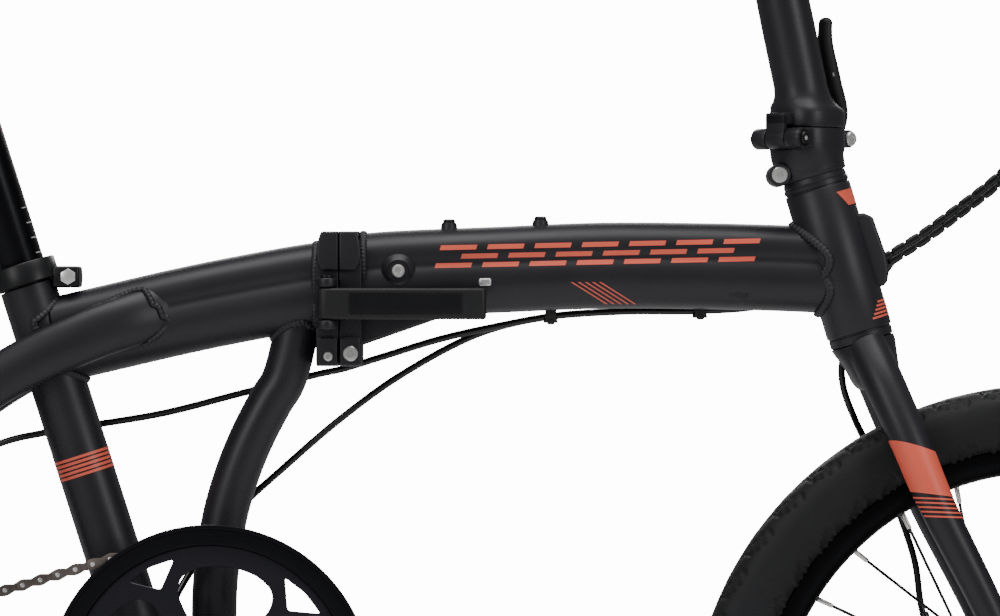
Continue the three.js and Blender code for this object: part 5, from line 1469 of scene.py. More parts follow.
WHEELS = {"front": HALF_WHEELBASE, "rear": -HALF_WHEELBASE}
RIM_ALLOY = {end: turned_metal(f"{end}_rim_black", (0.010, 0.010, 0.011), 0.34, (x, 0, WHEEL_R), 0.9)
             for end, x in WHEELS.items()}
HUB_ALLOY = {end: turned_metal(f"{end}_hub_black", (0.012, 0.012, 0.013), 0.3, (x, 0, WHEEL_R), 0.5)
             for end, x in WHEELS.items()}
ROTOR_STEEL = {end: turned_metal(f"{end}_rotor_steel", (0.52, 0.52, 0.53), 0.3, (x, 0, WHEEL_R), 0.35)
               for end, x in WHEELS.items()}
for end, x in WHEELS.items():
    build_tyre(end, x)
    build_rim(end, x)
build_hub("front", HALF_WHEELBASE, 27, 50)
build_hub("rear", -HALF_WHEELBASE, 22, 66)
build_rotor("front", HALF_WHEELBASE, 38)
build_rotor("rear", -HALF_WHEELBASE, 42)
build_axle("front", HALF_WHEELBASE, "fork", 50, 7)
build_axle("rear", -HALF_WHEELBASE, "rear_frame", 66, 8)


# ---------- drivetrain ----------

CRANK_CENTRE = (BB[0], BB[2])
GUIDE = (-502.0, 196.0)
TENSION = (-478.0, 138.0)
# centre, number of teeth, and 1 or -1 for the side of the chain that the wheel is on
CHAIN_WHEELS = [(*CRANK_CENTRE, 52, 1), (-HALF_WHEELBASE, WHEEL_R, 12, 1), (*GUIDE, 11, -1), (*TENSION, 11, 1)]


def pitch_radius(teeth):
    return teeth * CHAIN_PITCH / (2 * math.pi)


def contact_angle(a, b):
    heading = math.atan2(b[1] - a[1], b[0] - a[0])
    distance = math.hypot(b[0] - a[0], b[1] - a[1])
    return heading - math.acos((a[3] * pitch_radius(a[2]) - b[3] * pitch_radius(b[2])) / distance)


def chain_path():
    """The closed pitch line of the chain."""
    points = []
    count = len(CHAIN_WHEELS)
    for i, wheel in enumerate(CHAIN_WHEELS):
        before, after = CHAIN_WHEELS[(i - 1) % count], CHAIN_WHEELS[(i + 1) % count]
        arrive = contact_angle(before, wheel)
        turn = contact_angle(wheel, after) - arrive
        while wheel[3] * turn < 0:
            turn += wheel[3] * 2 * math.pi
        for share in np.linspace(0, 1, 64):
            angle = arrive + turn * share
            radius = wheel[3] * pitch_radius(wheel[2])
            points.append((wheel[0] + radius * math.cos(angle), wheel[1] + radius * math.sin(angle)))
    return np.array(points + points[:1])


def chain_pins():
    path = chain_path()
    steps = np.concatenate([[0], np.cumsum(np.linalg.norm(np.diff(path, axis=0), axis=1))])
    count = 2 * round(steps[-1] / CHAIN_PITCH / 2)
    at = np.linspace(0, steps[-1], count, endpoint=False)
    return np.column_stack([np.interp(at, steps, path[:, 0]), np.interp(at, steps, path[:, 1])])


PINS = chain_pins()


def peanut(a, b, big, waist, steps=6):
    """A chain side plate: two round ends with a narrow waist."""
    along = unit(np.array([b[0] - a[0], b[1] - a[1]]))
    across = np.array([-along[1], along[0]])
    length = math.hypot(b[0] - a[0], b[1] - a[1])
    outline = []
    for centre, first in [(np.array(b), -110), (np.array(a), 70)]:
        for k in range(steps + 1):
            angle = math.radians(first + 220 * k / steps)
            outline.append(centre + big * (math.cos(angle) * along + math.sin(angle) * across))
        middle = np.array(a) + along * length / 2
        sign = 1 if first == -110 else -1
        outline.append(middle + sign * across * waist)
    return [tuple(point) for point in outline]


def build_chain():
    plates, rollers, pins = [], [], []
    count = len(PINS)
    for k in range(count):
        a, b = PINS[k], PINS[(k + 1) % count]
        offset = 2.55 if k % 2 == 0 else 1.65
        for sign in (-1, 1):
            low, high = sorted([CHAIN_Y + sign * (offset - 0.45), CHAIN_Y + sign * (offset + 0.4)])
            plates.append(upright(peanut(a, b, 4.15, 2.5), low, high, 0.18, rounds=1))
        rollers.append(rod((a[0], CHAIN_Y - 1.25, a[1]), (a[0], CHAIN_Y + 1.25, a[1]), 3.85, 12, 0.3))
        pins.append(rod((a[0], CHAIN_Y - 3.4, a[1]), (a[0], CHAIN_Y + 3.4, a[1]), 1.65, 12, 0.35))
    piece("chain_links", "rear_frame", LINK_STEEL, plates, ["chain"], 35)
    piece("chain_pins", "rear_frame", SILVER, pins, sharp=35, slot="chain_steel")
    piece("chain_rollers", "rear_frame", STEEL, rollers, sharp=35)


def sprocket(centre, teeth, low, high, holes=(), start=None, bevel=0.35):
    """A toothed plate whose gaps fall on the chain's own rollers."""
    radius = pitch_radius(teeth)
    if start is None:
        near = min(PINS, key=lambda pin: abs(math.hypot(pin[0] - centre[0], pin[1] - centre[1]) - radius)
                   + 0.02 * abs(pin[1] - centre[1]))
        start = math.atan2(near[1] - centre[1], near[0] - centre[0])
    outline = []
    for k in range(teeth):
        middle = start + 2 * math.pi * k / teeth
        for share, reach in [(-0.5, 2.9), (-0.42, 2.6), (-0.33, 0.4), (-0.22, -2.7), (-0.1, -3.9), (0.1, -3.9),
                             (0.22, -2.7), (0.33, 0.4), (0.42, 2.6)]:
            angle = middle + 2 * math.pi * share / teeth
            outline.append((centre[0] + (radius + reach) * math.cos(angle),
                            centre[1] + (radius + reach) * math.sin(angle)))
    return upright(outline, low, high, bevel, list(holes), 1)


ARM_ANGLE = 44.6


def crank_polar(radius, degrees):
    angle = math.radians(degrees)
    return BB[0] + radius * math.cos(angle), BB[2] + radius * math.sin(angle)


def ring_of(outer, inner, low, high, bevel):
    return upright(disc_outline(CRANK_CENTRE, outer, 160), low, high, bevel, [disc_outline(CRANK_CENTRE, inner, 160)])


def spider():
    """One plate with five large rounded windows and a flat triangular window in each forked arm."""
    holes = []
    for k in range(5):
        arm = ARM_ANGLE + 72 * k
        gap = arm + 36
        shape = [(80, -24), (84.5, -14), (85.6, 0), (84.5, 14), (80, 24), (70, 28.5), (50, 27), (38, 12), (38, -12),
                 (50, -27), (70, -28.5)]
        corners = [crank_polar(radius, gap + turn) for radius, turn in shape]
        holes.append(rounded_outline(corners, 9.0, 5))
        triangle = [crank_polar(92.6, arm - 11.0), crank_polar(93.4, arm), crank_polar(92.6, arm + 11.0),
                    crank_polar(76, arm)]
        holes.append(rounded_outline(triangle, 2.4, 3))
    holes.append(disc_outline(CRANK_CENTRE, 9.0, 32))
    return upright(disc_outline(CRANK_CENTRE, 99.4, 160), -55.0, -50.4, 1.0, holes)


def build_crankset():
    ring = sprocket(CRANK_CENTRE, 52, CHAIN_Y - 1.4, CHAIN_Y + 1.4, [disc_outline(CRANK_CENTRE, 93.6, 120)])
    piece("chainring_skin", "crankset", RING_ALLOY, ring, ["chainring"], 30)
    guard = [ring_of(112.6, 99.2, -57.6, -54.9, 1.0), ring_of(113.4, 110.2, -58.6, -54.2, 0.9)]
    crank = as_object("right_crank_skin", spider(), RING_ALLOY, 35)
    hub = lathe([(8.8, -50.2), (29, -50.2), (30, -51.2), (30, -55.6), (28.5, -57.4), (24, -60.5), (19.5, -63.4),
                 (8.8, -63.4), (8.8, -50.2)], (BB[0], 0, BB[2]), Y, 72)
    weld_on(crank, hub, sharp=35)
    weld_on(crank, crank_arm(-244.0, -78.0, -64.0), sharp=35)
    weld_on(crank, rod((BB[0], -66, BB[2]), (BB[0], 69.5, BB[2]), 8.4, 36, 0.8), sharp=35)
    carve(crank, rod((-244, -90, 296), (-244, -60, 296), 6.4, 32, 0.1), sharp=35)
    settle(crank, "crankset", "right_crank")
    piece("chain_guard", "crankset", GUARD_PLASTIC, guard, sharp=40)
    collar = lathe([(8.6, 0), (11.4, 0), (11.6, -0.8), (9, -1.0), (8.6, 0)], (BB[0], -78.1, BB[2]), Y, 40)
    piece("crank_bolt_right", "crankset", SILVER, [bolt((BB[0], -78.0, BB[2]), -Y, 8.0, 1.0, 1), collar])
    left = as_object("left_crank_skin", crank_arm(86.0, 64.0, 78.0), ALLOY, 35)
    weld_on(left, rod((BB[0], 50, BB[2]), (BB[0], 70, BB[2]), 15.8, 48, 1.0), sharp=35)
    carve(left, rod((BB[0], 40, BB[2]), (BB[0], 72, BB[2]), 8.9, 36, 0.1),
          rod((86, 60, 296), (86, 90, 296), 6.4, 32, 0.1), sharp=35)
    settle(left, "crankset", "left_crank")
    piece("crank_bolt_left", "crankset", SILVER, bolt((BB[0], 78.0, BB[2]), Y, 8.0, 1.0, 1))


def crank_arm(tip_x, y_low, y_high):
    """A forged arm, waisted along its length and crowned across its faces."""
    tip = np.array([tip_x, 0, BB[2]])
    middle = (y_low + y_high) / 2
    rings = []
    keys = [(-0.115, 2.0, 3.2), (-0.108, 8.0, 5.6), (-0.08, 13.5, 6.6), (-0.03, 16.8, 7.0), (0.03, 17.0, 7.0),
            (0.1, 15.6, 6.8), (0.25, 12.2, 6.0), (0.5, 11.0, 5.5), (0.75, 11.0, 5.6), (0.9, 12.4, 6.4),
            (1.0, 13.4, 7.0), (1.04, 12.2, 6.8), (1.066, 8.6, 6.0), (1.078, 2.4, 3.4)]
    for share, high, deep in keys:
        centre = BB + (tip - BB) * share
        angles = turn(48)
        reach = squareness(angles, 3.4)
        rings.append(np.stack([np.full(48, centre[0]), middle + deep * reach * np.cos(angles),
                               centre[2] + high * reach * np.sin(angles)], axis=1))
    return loft(rings)


def build_pedal(side, sign):
    x = BB[0] + sign * CRANK
    y_low, y_high = low_high(sign, 86.0, 176.0)
    corners = [(x - 38, y_low + 12), (x - 26, y_low), (x + 26, y_low), (x + 38, y_low + 12), (x + 38, y_high - 12),
               (x + 26, y_high), (x - 26, y_high), (x - 38, y_high - 12)]
    middle = sign * 130.0
    windows = []
    for fore in (-1, 1):
        for row in (-1, 1):
            cx, cy = x + fore * 20.5, middle + row * 18
            window = [(cx - 9, cy - 13), (cx + 9, cy - 13), (cx + 9, cy + 13), (cx - 9, cy + 13)]
            windows.append(rounded_outline(window, 3.5, 3))
    cage = level(rounded_outline(corners, 4, 4), 286.5, 305.5, 2.0, windows)
    body = as_object(f"{side}_pedal_skin", cage, PLASTIC, 35)
    weld_on(body, rod((x, sign * 84, 296), (x, sign * 178, 296), 10.4, 40, 1.4), sharp=35)
    settle(body, f"{side}_pedal", f"{side}_pedal")
    studs = []
    for fore in (-1, 1):
        for k in range(5):
            for up, z in [(1, 305.4), (-1, 286.6)]:
                spot = (x + fore * 33.4, middle + (k - 2) * 14.5, z)
                studs.append(rod(spot, np.array(spot) + up * 2.4 * Z, 2.0, 14, 0.5, 1.5))
    for row in (-1, 0, 1):
        for up, z in [(1, 305.4), (-1, 286.6)]:
            spot = (x, middle + row * 27, z)
            studs.append(rod(spot, np.array(spot) + up * 1.6 * Z, 2.2, 14, 0.5, 1.7))
    piece(f"{side}_pedal_grips", f"{side}_pedal", GRIP_RUBBER, studs)
    piece(f"{side}_pedal_spindle", f"{side}_pedal", SILVER,
          [rod((x, sign * 66, 296), (x, sign * 84.5, 296), 5.9, 36, 0.8),
           rod((x, sign * 78.4, 296), (x, sign * 82.6, 296), 8.4, 6, 0.5)])
    for fore in (-1, 1):
        panel = block((x + fore * 38.1 - 0.9, middle - 21, 291.5), (x + fore * 38.1 + 0.9, middle + 21, 300.5), 0.5)
        piece(f"{side}_pedal_reflector_{'fore' if fore > 0 else 'aft'}", f"{side}_pedal", CLEAR, panel)


COGS = [12, 14, 17, 20, 24, 28]


def build_cassette():
    centre = (-HALF_WHEELBASE, WHEEL_R)
    cogs, spacers = [], []
    for i, teeth in enumerate(COGS):
        y = CHAIN_Y + (0 if i == 0 else 4.45 + 3.0 * (i - 1))
        holes = [disc_outline(centre, 11.3, 36)]
        if teeth >= 20:
            radius = pitch_radius(teeth)
            for k in range(6):
                angle = 2 * math.pi * k / 6 + 0.3 * i
                spot = (centre[0] + radius * 0.62 * math.cos(angle), centre[1] + radius * 0.62 * math.sin(angle))
                holes.append(disc_outline(spot, radius * 0.17, 20))
        start = None if i == 0 else 0.1 * i
        cogs.append(sprocket(centre, teeth, y - 0.95, y + 0.95, holes, start))
        if i:
            spacers.append(lathe([(11.3, -1.1), (18.5, -1.1), (18.5, 1.1), (11.3, 1.1), (11.3, -1.1)],
                                 (centre[0], y - 1.6, centre[1]), Y, 40))
    piece("cassette_cogs", "cassette", COG_STEEL, cogs, ["cassette"], 30)
    piece("cassette_spacers", "cassette", ALLOY, spacers)
    ring = lathe([(11.2, -3.2), (17.5, -3.2), (18.2, -2.4), (18.2, -1.0), (11.2, -1.0), (11.2, -3.2)],
                 (centre[0], CHAIN_Y, centre[1]), Y, 48)
    piece("cassette_lockring", "cassette", ALLOY, ring)


def build_pulley(name, x, z):
    holes = [disc_outline((x, z), 3.2, 24)]
    for k in range(5):
        angle = 2 * math.pi * k / 5
        holes.append(disc_outline((x + 9.6 * math.cos(angle), z + 9.6 * math.sin(angle)), 2.5, 14))
    wheel = sprocket((x, z), 11, CHAIN_Y - 1.2, CHAIN_Y + 1.2, holes)
    piece(f"{name}_skin", name, PLASTIC, wheel, [name], 30)
    bush = lathe([(2.75, -1.7), (5.2, -1.7), (5.4, -1.4), (5.4, 1.4), (5.2, 1.7), (2.75, 1.7), (2.75, -1.7)],
                 (x, CHAIN_Y, z), Y, 32)
    piece(f"{name}_bush", name, SILVER, bush)


def build_derailleur():
    guide, tension, mount = GUIDE, TENSION, (-512.0, 222.0)
    shapes = []
    along = unit(np.subtract(tension, guide))
    window = link_outline(*(guide + along * 22), 5.5, *(tension - along * 20), 5.0)
    for low, high in [(-53.2, -51.6), (-44.4, -42.9)]:
        shapes.append(upright(link_outline(*guide, 13, *tension, 12, 10), low, high, 0.5,
                              [disc_outline(guide, 2.4, 20), disc_outline(tension, 2.4, 20), window]))
    piece("derailleur_cage", "rear_frame", ALLOY, shapes, ["derailleur"], 35)
    axles = []
    for x, z in (guide, tension):
        axles.append(rod((x, -54.4, z), (x, -42.2, z), 2.6, 24, 0.3))
        axles.append(bolt((x, -53.2, z), -Y, 4.2, 1.6, 2))
    piece("pulley_bolts", "rear_frame", SILVER, axles)
    body = as_object("derailleur_body", rod((mount[0], -75.6, mount[1]), (mount[0], -88, mount[1]), 10.9, 48, 1.4),
                     ALLOY_MATTE, 40)
    weld_on(body, rod((guide[0], -53.5, guide[1]), (guide[0], -78, guide[1]), 10.8, 48, 1.4), sharp=40)
    weld_on(body, upright(link_outline(*mount, 10, *guide, 9.6, 10), -88, -73.0, 2.6), sharp=40)
    recess = link_outline(mount[0] + 2, mount[1] - 5, 3.2, guide[0] - 2, guide[1] + 6, 3.2, 8)
    carve(body, upright(recess, -90, -84.6, 0.2),
          upright(link_outline(-HALF_WHEELBASE, WHEEL_R, 15.6, -512, 222, 9.0), -75.0, -64.0, 0.1), sharp=40)
    settle(body, "rear_frame")
    piece("derailleur_bolts", "rear_frame", SILVER,
          [bolt((mount[0], -88, mount[1]), -Y, 5.0, 1.8, 2), bolt((guide[0], -88, guide[1]), -Y, 3.0, 1.4, 2),
           rod((-526, -82, 223), (-520, -82, 222.4), 3.3, 20, 0.5)])
    barrel = lathe([(2.6, 0), (4.6, 0), (4.8, 0.6), (4.8, 7.4), (4.4, 8.2), (2.6, 8.2), (2.6, 0)],
                   (-534, -82, 225), unit((-0.9, 0, 0.2)), 18)
    piece("barrel_adjuster", "rear_frame", PLASTIC, barrel)


LINK_STEEL = surface("link_steel", (0.17, 0.14, 0.125), 0.42, metallic=0.75, depth=0.00002, spread=0.08)
RING_ALLOY = turned_metal("crank_black", (0.036, 0.035, 0.042), 0.5, (BB[0], -50, BB[2]), 0.8)
GUARD_PLASTIC = turned_metal("guard_black", (0.017, 0.017, 0.020), 0.42, (BB[0], -57, BB[2]), 1.2)
COG_STEEL = turned_metal("cog_steel", (0.42, 0.41, 0.40), 0.32, (-HALF_WHEELBASE, CHAIN_Y, WHEEL_R), 0.5)
build_chain()
build_crankset()
build_pedal("left", 1)
build_pedal("right", -1)
build_cassette()
build_pulley("guide_pulley", *GUIDE)
build_pulley("tension_pulley", *TENSION)
build_derailleur()


# ---------- brakes and kickstand ----------


def leaned(shape, centre, lean):
    """A shape drawn round an origin, leaned about the Y axis and moved to a brake's own place."""
    points, faces = np.asarray(shape[0], float), shape[1]
    angle = math.radians(lean)
    x = points[:, 0] * math.cos(angle) - points[:, 2] * math.sin(angle)
    z = points[:, 0] * math.sin(angle) + points[:, 2] * math.cos(angle)
    return np.column_stack([x + centre[0], points[:, 1], z + centre[1]]), faces


def build_caliper(end, x, z, rotor_y, lean, body):
    low, high = rotor_y - 8.0, rotor_y + 16.0
    wheel_x = math.copysign(HALF_WHEELBASE, x)

    def own(shape):
        return leaned(shape, (x, z), lean)

    outline = rounded_outline([(-20, -13), (20, -13), (22, 8), (12, 15), (-12, 15), (-22, 8)], 4.5, 4)
    caliper = as_object(f"{end}_caliper_skin", own(upright(outline, low, high, 2.4)), ALLOY_MATTE, 35)
    for side in (-11, 11):
        carve(caliper, own(rod((side, high - 1.6, 5), (side, high + 2, 5), 3.6, 28, 0.1)), sharp=35)
    gap = rod((wheel_x, rotor_y - 1.9, WHEEL_R), (wheel_x, rotor_y + 1.9, WHEEL_R), 83.6, 120, 0.1)
    carve(caliper, gap, sharp=35)
    settle(caliper, body, f"{end}_brake_caliper")
    bolts = [own(bolt((side, high - 1.4, 5), Y, 2.9, 1.2, 2)) for side in (-11, 11)]
    pads = [own(block((-9, rotor_y + side * 2.9 - 0.8, -10), (9, rotor_y + side * 2.9 + 0.8, 4), 0.3))
            for side in (-1, 1)]
    piece(f"{end}_caliper_bolts", body, SILVER, bolts)
    piece(f"{end}_brake_pads", body, BRASS, pads)
    arm = own(upright(link_outline(0, 0, 8, 26, 6, 4.5, 10), high + 0.35, high + 4.6, 1.0,
                      [disc_outline((0, 0), 2.6, 20), disc_outline((26, 6), 1.6, 16)]))
    boss = own(lathe([(2.7, 0), (6.0, 0), (6.2, 0.6), (5.6, 1.2), (2.7, 1.2), (2.7, 0)], (0, high + 3.8, 0), Y, 36))
    piece(f"{end}_caliper_arm_skin", f"{end}_caliper_arm", SILVER, [arm, boss], [f"{end}_caliper_arm"])
    piece(f"{end}_caliper_pivot", body, ALLOY, own(bolt((0, high - 0.4, 0), Y, 2.5, 5.2, 3)))


def build_kickstand():
    path = [(-190, 50, 250), (-184, 51, 200), (-178, 53, 150), (-172, 66, 115), (-166, 98, 50), (-162, 121.4, 13)]
    stand = as_object("kickstand_skin", tube(path, lambda t: 7.0 - 0.8 * t, 32, 90), ALLOY_MATTE, 40)
    weld_on(stand, rod((-190, 39, 250), (-190, 59, 250), 11, 48, 1.6), sharp=40)
    settle(stand, "kickstand", "kickstand")
    foot = lathe([(0.5, 0), (12.6, 0), (13.8, 1.2), (14, 3.2), (13.2, 4.2), (13.4, 5.4), (12.4, 6.8), (10.4, 9.0),
                  (9.4, 15.0), (8.2, 17.6), (0.5, 17.6), (0.5, 0)], (-162, 122, 0), Z, 56)
    piece("kickstand_foot_pad", "kickstand", GRIP_RUBBER, foot)
    piece("kickstand_bolt", "kickstand", SILVER, bolt((-190, 59, 250), Y, 5.5, 2.2, 3))
    spring = []
    for share in np.linspace(0, 1, 200):
        angle = share * 2 * math.pi * 14
        spring.append((-181 + 2.6 * math.cos(angle), 46 + 2.6 * math.sin(angle), 246 - 34 * share))
    piece("kickstand_spring", "kickstand", SILVER, tube(spring, 0.55, 8, 420))


# ---------- handlebar, grips and levers ----------


def on_bar(y):
    share = max(0.0, (abs(y) - 58) / 222)
    return np.array([BAR[0] - 18 * share, y, BAR[2] + 4 * share])


def build_handlebar():
    ys = np.concatenate([np.linspace(-280, -66, 24), np.linspace(-62, -50, 7), np.linspace(-40, 40, 9),
                         np.linspace(50, 62, 7), np.linspace(66, 280, 24)])
    rings = []
    for y in ys:
        blend = np.clip((abs(y) - 50) / 12, 0, 1)
        blend = blend * blend * (3 - 2 * blend)
        radius = 12.7 * (1 - blend) + 11.1 * blend
        angles = turn(44)
        centre = on_bar(y)
        rings.append(np.stack([centre[0] + radius * np.cos(angles), np.full(44, y),
                               centre[2] + radius * np.sin(angles)], axis=1))
    piece("handlebar_skin", "handlepost", ALLOY_MATTE, loft(rings), ["handlebar"], 40)


GRIP_START = 158.4
GRIP_END = 282.8


def build_grip(side, sign):
    """A moulded grip: flanged at the inner end, with a palm swell, cross ribs and a plugged outer end."""
    rings = []
    for along in np.linspace(0, GRIP_END - GRIP_START, 241):
        reach = GRIP_START + along
        radius = 15.4 + 0.8 * math.sin(math.pi * np.clip((along - 10) / 100, 0, 1))
        if along < 4:
            radius = 16.4
        elif 8 < along < 112:
            radius -= 0.45 * (0.5 + 0.5 * math.cos(2 * math.pi * along / 3.4))
        if along > 121:
            radius = 16.2 - 1.4 * max(0.0, (along - 122.6) / 1.8)
        centre = on_bar(sign * reach)
        angles = turn(56)
        flute = 0.25 * np.cos(angles * 14) if 8 < along < 112 else 0 * angles
        rings.append(np.stack([centre[0] + (radius + flute) * np.cos(angles), np.full(56, sign * reach),
                               centre[2] + (radius + flute) * np.sin(angles)], axis=1))
    grip = as_object(f"{side}_grip_skin", loft(rings), GRIP_RUBBER, 40)
    carve(grip, rod(on_bar(sign * 150), on_bar(sign * 280.6), 11.3, 40, 0.1), sharp=40)
    settle(grip, "handlepost", f"{side}_grip")


def build_lever(side, sign):
    x, z = BAR[0], BAR[2]
    pivot = (299.0, sign * 157.0)
    collar = rod(on_bar(sign * 138.4), on_bar(sign * 151.6), 15.8, 52, 1.4)
    clamp = as_object(f"{side}_perch_skin", collar, ALLOY_MATTE, 35)
    near, far = low_high(sign, 138.5, 150)
    weld_on(clamp, block((x - 2, near, z - 18.6), (x + 24, far, z - 5.4), 2.2), sharp=35)
    for low, high in [(z - 5.4, z - 2.4), (z - 21.6, z - 18.6)]:
        fork_plate = level(link_outline(x + 12, sign * 146, 6.5, pivot[0], pivot[1], 5.6, 8), low, high, 0.7)
        weld_on(clamp, fork_plate, sharp=35)
    carve(clamp, rod(on_bar(sign * 120), on_bar(sign * 170), 11.35, 40, 0.1), sharp=35)
    near, far = low_high(sign, 130, 160)
    carve(clamp, block((x - 20, near, z - 0.6), (x - 10, far, z + 0.6), 0.1), sharp=35)
    settle(clamp, "handlepost", f"{side}_brake_perch")
    piece(f"{side}_perch_bolt", "handlepost", SILVER,
          [bolt((x - 13.6, sign * 145, z + 5.6), unit((-0.5, 0, 0.86)), 2.8, 2.0, 2),
           rod((*pivot, z - 22.4), (*pivot, z - 1.6), 2.4, 24, 0.4), bolt((*pivot, z - 2.4), Z, 3.8, 1.4, 2)])
    spine = smooth_path([(299, sign * 157, 1013), (309, sign * 164, 1011), (314, sign * 174, 1008.8),
                         (312.6, sign * 212, 1005), (306, sign * 252, 1003)], 70)
    blade = tube(spine, lambda t: 1.0 - 0.24 * t + 0.1 * math.exp(-((t - 0.12) / 0.1) ** 2), steps=90,
                 section=circle_section(30) * np.array([4.2, 5.6]), side=X)
    lever = as_object(f"{side}_lever_skin", blade, ALLOY_MATTE, 40)
    weld_on(lever, rod((*pivot, z - 18.3), (*pivot, z - 5.7), 5.2, 36, 0.6), sharp=40)
    ball = lathe([(0.4, -5.4), (2.6, -4.9), (4.6, -3.0), (5.5, 0), (4.6, 3.0), (2.6, 4.9), (0.4, 5.4)],
                 (305.6, sign * 255, 1002.9), Y, 36)
    weld_on(lever, ball, sharp=40)
    carve(lever, rod((*pivot, z - 24), (*pivot, z), 2.7, 24, 0.1), sharp=40)
    settle(lever, f"{side}_brake_lever", f"{side}_brake_lever")
    barrel = lathe([(2.7, 0), (4.6, 0), (4.8, 0.5), (4.8, 6), (3.9, 6.6), (3.9, 11), (2.7, 11), (2.7, 0)],
                   (299, sign * 139.5, 1017), Y * -sign, 20)
    piece(f"{side}_lever_barrel", "handlepost", ALLOY, barrel)


def build_shifter():
    corners = rounded_outline([(250.5, -145.6), (283.6, -145.6), (283.6, -114.4), (250.5, -114.4)], 9, 6)
    pod = level(corners, 995.2, 1008.8, 3.2)
    neck = rod((268, -138, 1006), (268, -138, 1012), 6.5, 28, 0.6)
    piece("shifter_pod", "handlepost", PLASTIC, [pod, neck], sharp=40)
    dial = lathe([(0.5, 0), (7.2, 0), (7.6, 0.5), (7.2, 1.2), (0.5, 1.2), (0.5, 0)], (262, -124, 1008.2), Z, 44)
    piece("shifter_window", "handlepost", CLEAR, dial)
    thumb = level(link_outline(268, -124, 6, 238, -146, 4, 10), 990.2, 994.4, 1.3)
    piece("shift_lever_skin", "shift_lever", PLASTIC,
          [thumb, rod((268, -124, 990.0), (268, -124, 994.6), 4, 28, 0.3)], ["shift_lever"])
    piece("shifter_screw", "shift_lever", SILVER, bolt((268, -124, 990.3), -Z, 2.6, 1.2, 2))
    nose = lathe([(2.6, 0), (4.4, 0), (4.6, 0.6), (4.6, 7), (3.6, 8), (2.6, 8), (2.6, 0)], (284, -113.5, 1002),
                 unit((0.3, 0.95, 0)), 18)
    piece("shifter_barrel", "handlepost", PLASTIC, nose)


# ---------- seat post, clamp and saddle ----------


def build_seat_post():
    top = seat_axis(888)
    post = as_object("seat_post_skin", rod(seat_axis(462), top, 16.95, 64, 1.0), POST_ALLOY, 40)
    weld_on(post, rod((top[0], -24, top[2] + 1), (top[0], 24, top[2] + 1), 12, 48, 1.6), sharp=40)
    weld_on(post, block((top[0] - 16, -18, top[2] + 6), (top[0] + 16, 18, top[2] + 13.6), 2.0), sharp=40)
    settle(post, "seat_post", "seat_post")
    marks = [band(seat_axis(462), SEAT_DIR, 16.84, 95 + 11 * k, 95.9 + 11 * k, 55, 78 if k % 2 else 86)
             for k in range(8)]
    piece("seat_post_scale", "seat_post", SILVER, marks, slot="black_alloy")
    bolts = [bolt((top[0], s * 23.6, top[2] + 1), Y * s, 5.2, 3.0, 3) for s in (1, -1)]
    rails = []
    for s in (1, -1):
        rails.append(tube([(top[0] - 96, s * 44, 916), (top[0] - 60, s * 26, 905.5), (top[0] - 20, s * 21.6, 903.4),
                           (top[0] + 30, s * 21.2, 903.6), (top[0] + 78, s * 13, 913), (top[0] + 104, s * 7, 925)], 3.4,
                          20, 80))
    piece("saddle_rails", "seat_post", SILVER, rails)
    piece("seat_clamp_bolts", "seat_post", SILVER, bolts)


def build_seat_clamp():
    base = seat_axis(583)
    ring = [(17.4, -7.3), (23.6, -7.3), (24.3, -6.5), (24.3, 6.9), (23.6, 7.8), (17.4, 7.8), (17.4, -7.3)]
    clamp = as_object("seat_clamp_skin", lathe(ring, base, SEAT_DIR, 72), ALLOY, 40)
    carve(clamp, rod(seat_axis(540), seat_axis(575.2), 20.2, 60, 0.1), sharp=40)
    weld_on(clamp, block((-192.6, -12, 574.4), (-173.4, 16.4, 589.6), 2.0), sharp=40)
    carve(clamp, rod(seat_axis(540), seat_axis(620), 17.3, 60, 0.1),
          block((-194, -1.2, 570), (-170, 1.2, 594), 0.1), sharp=40)
    settle(clamp, "rear_frame", "seat_clamp")
    piece("seat_clamp_nut", "rear_frame", SILVER, rod((-181, -16.8, 582), (-181, -11.6, 582), 5.8, 6, 0.6))
    lever = level(link_outline(-181, 24, 7, -236, 38, 4.5, 10), 576.4, 587.6, 2.6)
    blade = as_object("seat_lever_skin", lever, ALLOY_MATTE, 40)
    carve(blade, level(link_outline(-198, 28.4, 2.6, -228, 36.0, 2.2, 8), 586.2, 590, 0.1), sharp=40)
    settle(blade, "seat_clamp_lever", "seat_clamp_lever")
    piece("seat_lever_pin", "seat_clamp_lever", SILVER,
          rod((-181, 24, 575.8), (-181, 24, 588.2), 3.0, 28, 0.6))


SADDLE_FOOT = 0.80  # how far the lowest ring is drawn in
SADDLE_KEYS = [(-438.6, 30.0), (-436, 44), (-428, 62), (-414, 71.5), (-396, 74.6), (-376, 72), (-352, 62), (-326, 47),
               (-300, 35), (-270, 27.5), (-236, 23.5), (-206, 20.5), (-188, 16.5), (-180, 11.0), (-177.2, 5.0)]


def drawn_in(ring, share):
    """A saddle ring with its outline pulled towards the line along its middle."""
    spine = np.column_stack([np.clip(ring[:, 0], -404, -196), np.zeros(len(ring))])
    made = ring.copy()
    made[:, :2] = spine + (ring[:, :2] - spine) * share
    return made


